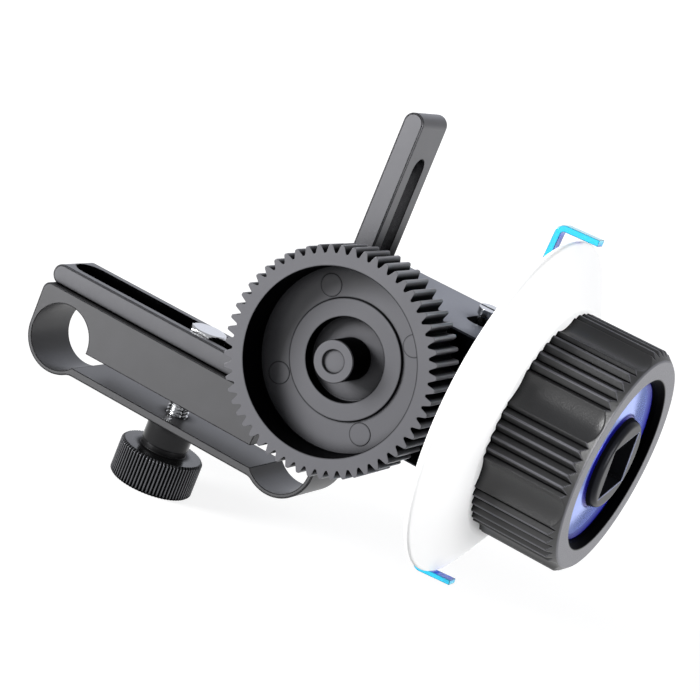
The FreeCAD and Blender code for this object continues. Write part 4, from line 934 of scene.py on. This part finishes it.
left_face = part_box("pointer_top")[0][0] / mm + 0.65
top_line = rounded([(left_face, 36.0, 0), (left_face - 0.2, 58.0, 20.0),
                    (left_face + 0.1, 69.7, 1.4), (72.9, 69.95, 0)], closed=False, steps=9)
bottom_line = rounded([(left_face, 24.0, 0), (left_face, -9.55, 1.4), (72.7, -8.9, 0)],
                      closed=False, steps=9)
piece(strip("top_pointer_strip", top_line, 1.4, 1), pointer_finish, "gearbox",
      ["pointer_top"])
piece(strip("bottom_pointer_strip", bottom_line, 1.1, -1), pointer_finish,
      "gearbox", ["pointer_bottom"])

# %% [markdown]
# ## Floor
#
# The unit stands on plain white paper. The paper is lit like the unit, so it keeps the soft
# shadow, and the camera and reflections see it a little brighter than it is, which turns it
# into an even white. The room behind it is white to the camera too, so no horizon shows.

# %% White paper floor
def looked_at(tree, mirrored):
    """1 to the camera, also through acrylic, the mirrored share to reflections, 0 to light."""
    path = add(tree, "ShaderNodeLightPath")
    gloss = add(tree, "ShaderNodeMath", {0: path.outputs["Is Glossy Ray"], 1: mirrored},
                operation="MULTIPLY")
    seen = add(tree, "ShaderNodeMath", {0: path.outputs["Is Camera Ray"], 1: gloss.outputs[0]},
               operation="MAXIMUM")
    seen = add(tree, "ShaderNodeMath", {0: seen.outputs[0],
                                        1: path.outputs["Is Transmission Ray"]},
               operation="MAXIMUM")
    return seen.outputs[0]


paper, tree = start("white_paper")
spot = add(tree, "ShaderNodeTexCoord")
fibre = add(tree, "ShaderNodeTexNoise", {"Vector": spot.outputs["Object"], "Scale": 60.0,
                                         "Detail": 4.0})
shade = add(tree, "ShaderNodeMix", {"Factor": fibre.outputs["Fac"], 6: linear("#9c9c9c"),
                                    7: linear("#a0a0a0")}, data_type="RGBA")
matte = add(tree, "ShaderNodeBsdfDiffuse", {"Color": shade.outputs[2]})
# The paper brightens from 0.84 near the unit to full white half a metre away from it.
far = add(tree, "ShaderNodeVectorMath", {0: spot.outputs["Object"]}, operation="LENGTH")
white = add(tree, "ShaderNodeMapRange", {"Value": far.outputs["Value"], "From Min": 0.12,
                                         "From Max": 0.5, "To Min": 0.84, "To Max": 1.0})
lift = add(tree, "ShaderNodeMath", {0: looked_at(tree, 1.0), 1: white.outputs[0]},
           operation="MULTIPLY")
light = add(tree, "ShaderNodeEmission", {"Color": linear("#ffffff"),
                                         "Strength": lift.outputs[0]})
both = add(tree, "ShaderNodeAddShader", {0: matte.outputs[0], 1: light.outputs[0]})
close(tree, both)

floor_height = -22.0 * mm
half_side = 30.0    # metres, far past what any view shows
floor_mesh = bpy.data.meshes.new("paper_floor")
corners = [(-1, -1), (1, -1), (1, 1), (-1, 1)]
floor_mesh.from_pydata([(x * half_side, y * half_side, floor_height) for x, y in corners], [],
                       [(0, 1, 2, 3)])
floor_mesh.materials.append(paper)
floor = bpy.data.objects.new("paper_floor", floor_mesh)
bpy.context.scene.collection.objects.link(floor)
print("floor at", floor_height / mm, "mm")

# %% [markdown]
# ## Light
#
# Three soft boxes and a dim pale room. The key box stands low on the left of the camera, so the
# deep gear's left wall shades its floor. The side box stands on the right, where the wheel's
# front and the white disc face it. The back box hangs low behind the unit, where the top faces
# mirror it towards the camera. The power of each box is worked out from the light that should
# reach the unit.

# %% Soft boxes and room
aim = Vector((0.03, 0.0, 0.025))


def soft_box(name, direction, distance, size, level, colour):
    """A square area light that adds the given level to a white face turned to it.

    distance and size are in metres.
    A box of power P gives a facing white surface P / (pi squared times distance squared).
    """
    box = bpy.data.lights.new(name, "AREA")
    box.shape = "SQUARE"
    box.size = size
    box.energy = level * math.pi ** 2 * distance ** 2
    box.color = linear(colour)[:3]
    lamp = bpy.data.objects.new(name, box)
    lamp.location = aim + Vector(direction).normalized() * distance
    lamp.rotation_euler = (aim - lamp.location).to_track_quat("-Z", "Y").to_euler()
    bpy.context.scene.collection.objects.link(lamp)
    print(f"{name}: {box.energy:.1f} W")


soft_box("key_box", (-1.0, -1.0, 0.25), distance=0.9, size=0.4, level=1.9, colour="#ffffff")
soft_box("side_box", (1.0, -0.1, 0.15), distance=1.0, size=0.55, level=1.15, colour="#ffffff")
soft_box("back_box", (-0.36, 0.9, 0.35), distance=1.0, size=0.8, level=0.12, colour="#eaefff")

room = bpy.data.worlds.new("pale_room")
room.use_nodes = True
room.node_tree.nodes.clear()
# The room lights the unit dimly and is as white as the paper to the camera. Gloss mirrors it
# pale grey, so that silver keeps its facets.
seen = looked_at(room.node_tree, 0.55)
level = add(room.node_tree, "ShaderNodeMapRange", {"Value": seen, "To Min": 0.12, "To Max": 1.0})
tone = add(room.node_tree, "ShaderNodeMix", {"Factor": seen, 6: linear("#f5f7ff"),
                                             7: linear("#ffffff")}, data_type="RGBA")
pale = add(room.node_tree, "ShaderNodeBackground", {"Color": tone.outputs[2],
                                                    "Strength": level.outputs[0]})
add(room.node_tree, "ShaderNodeOutputWorld", {"Surface": pale.outputs[0]})
bpy.context.scene.world = room
bpy.context.scene.view_settings.view_transform = "Standard"
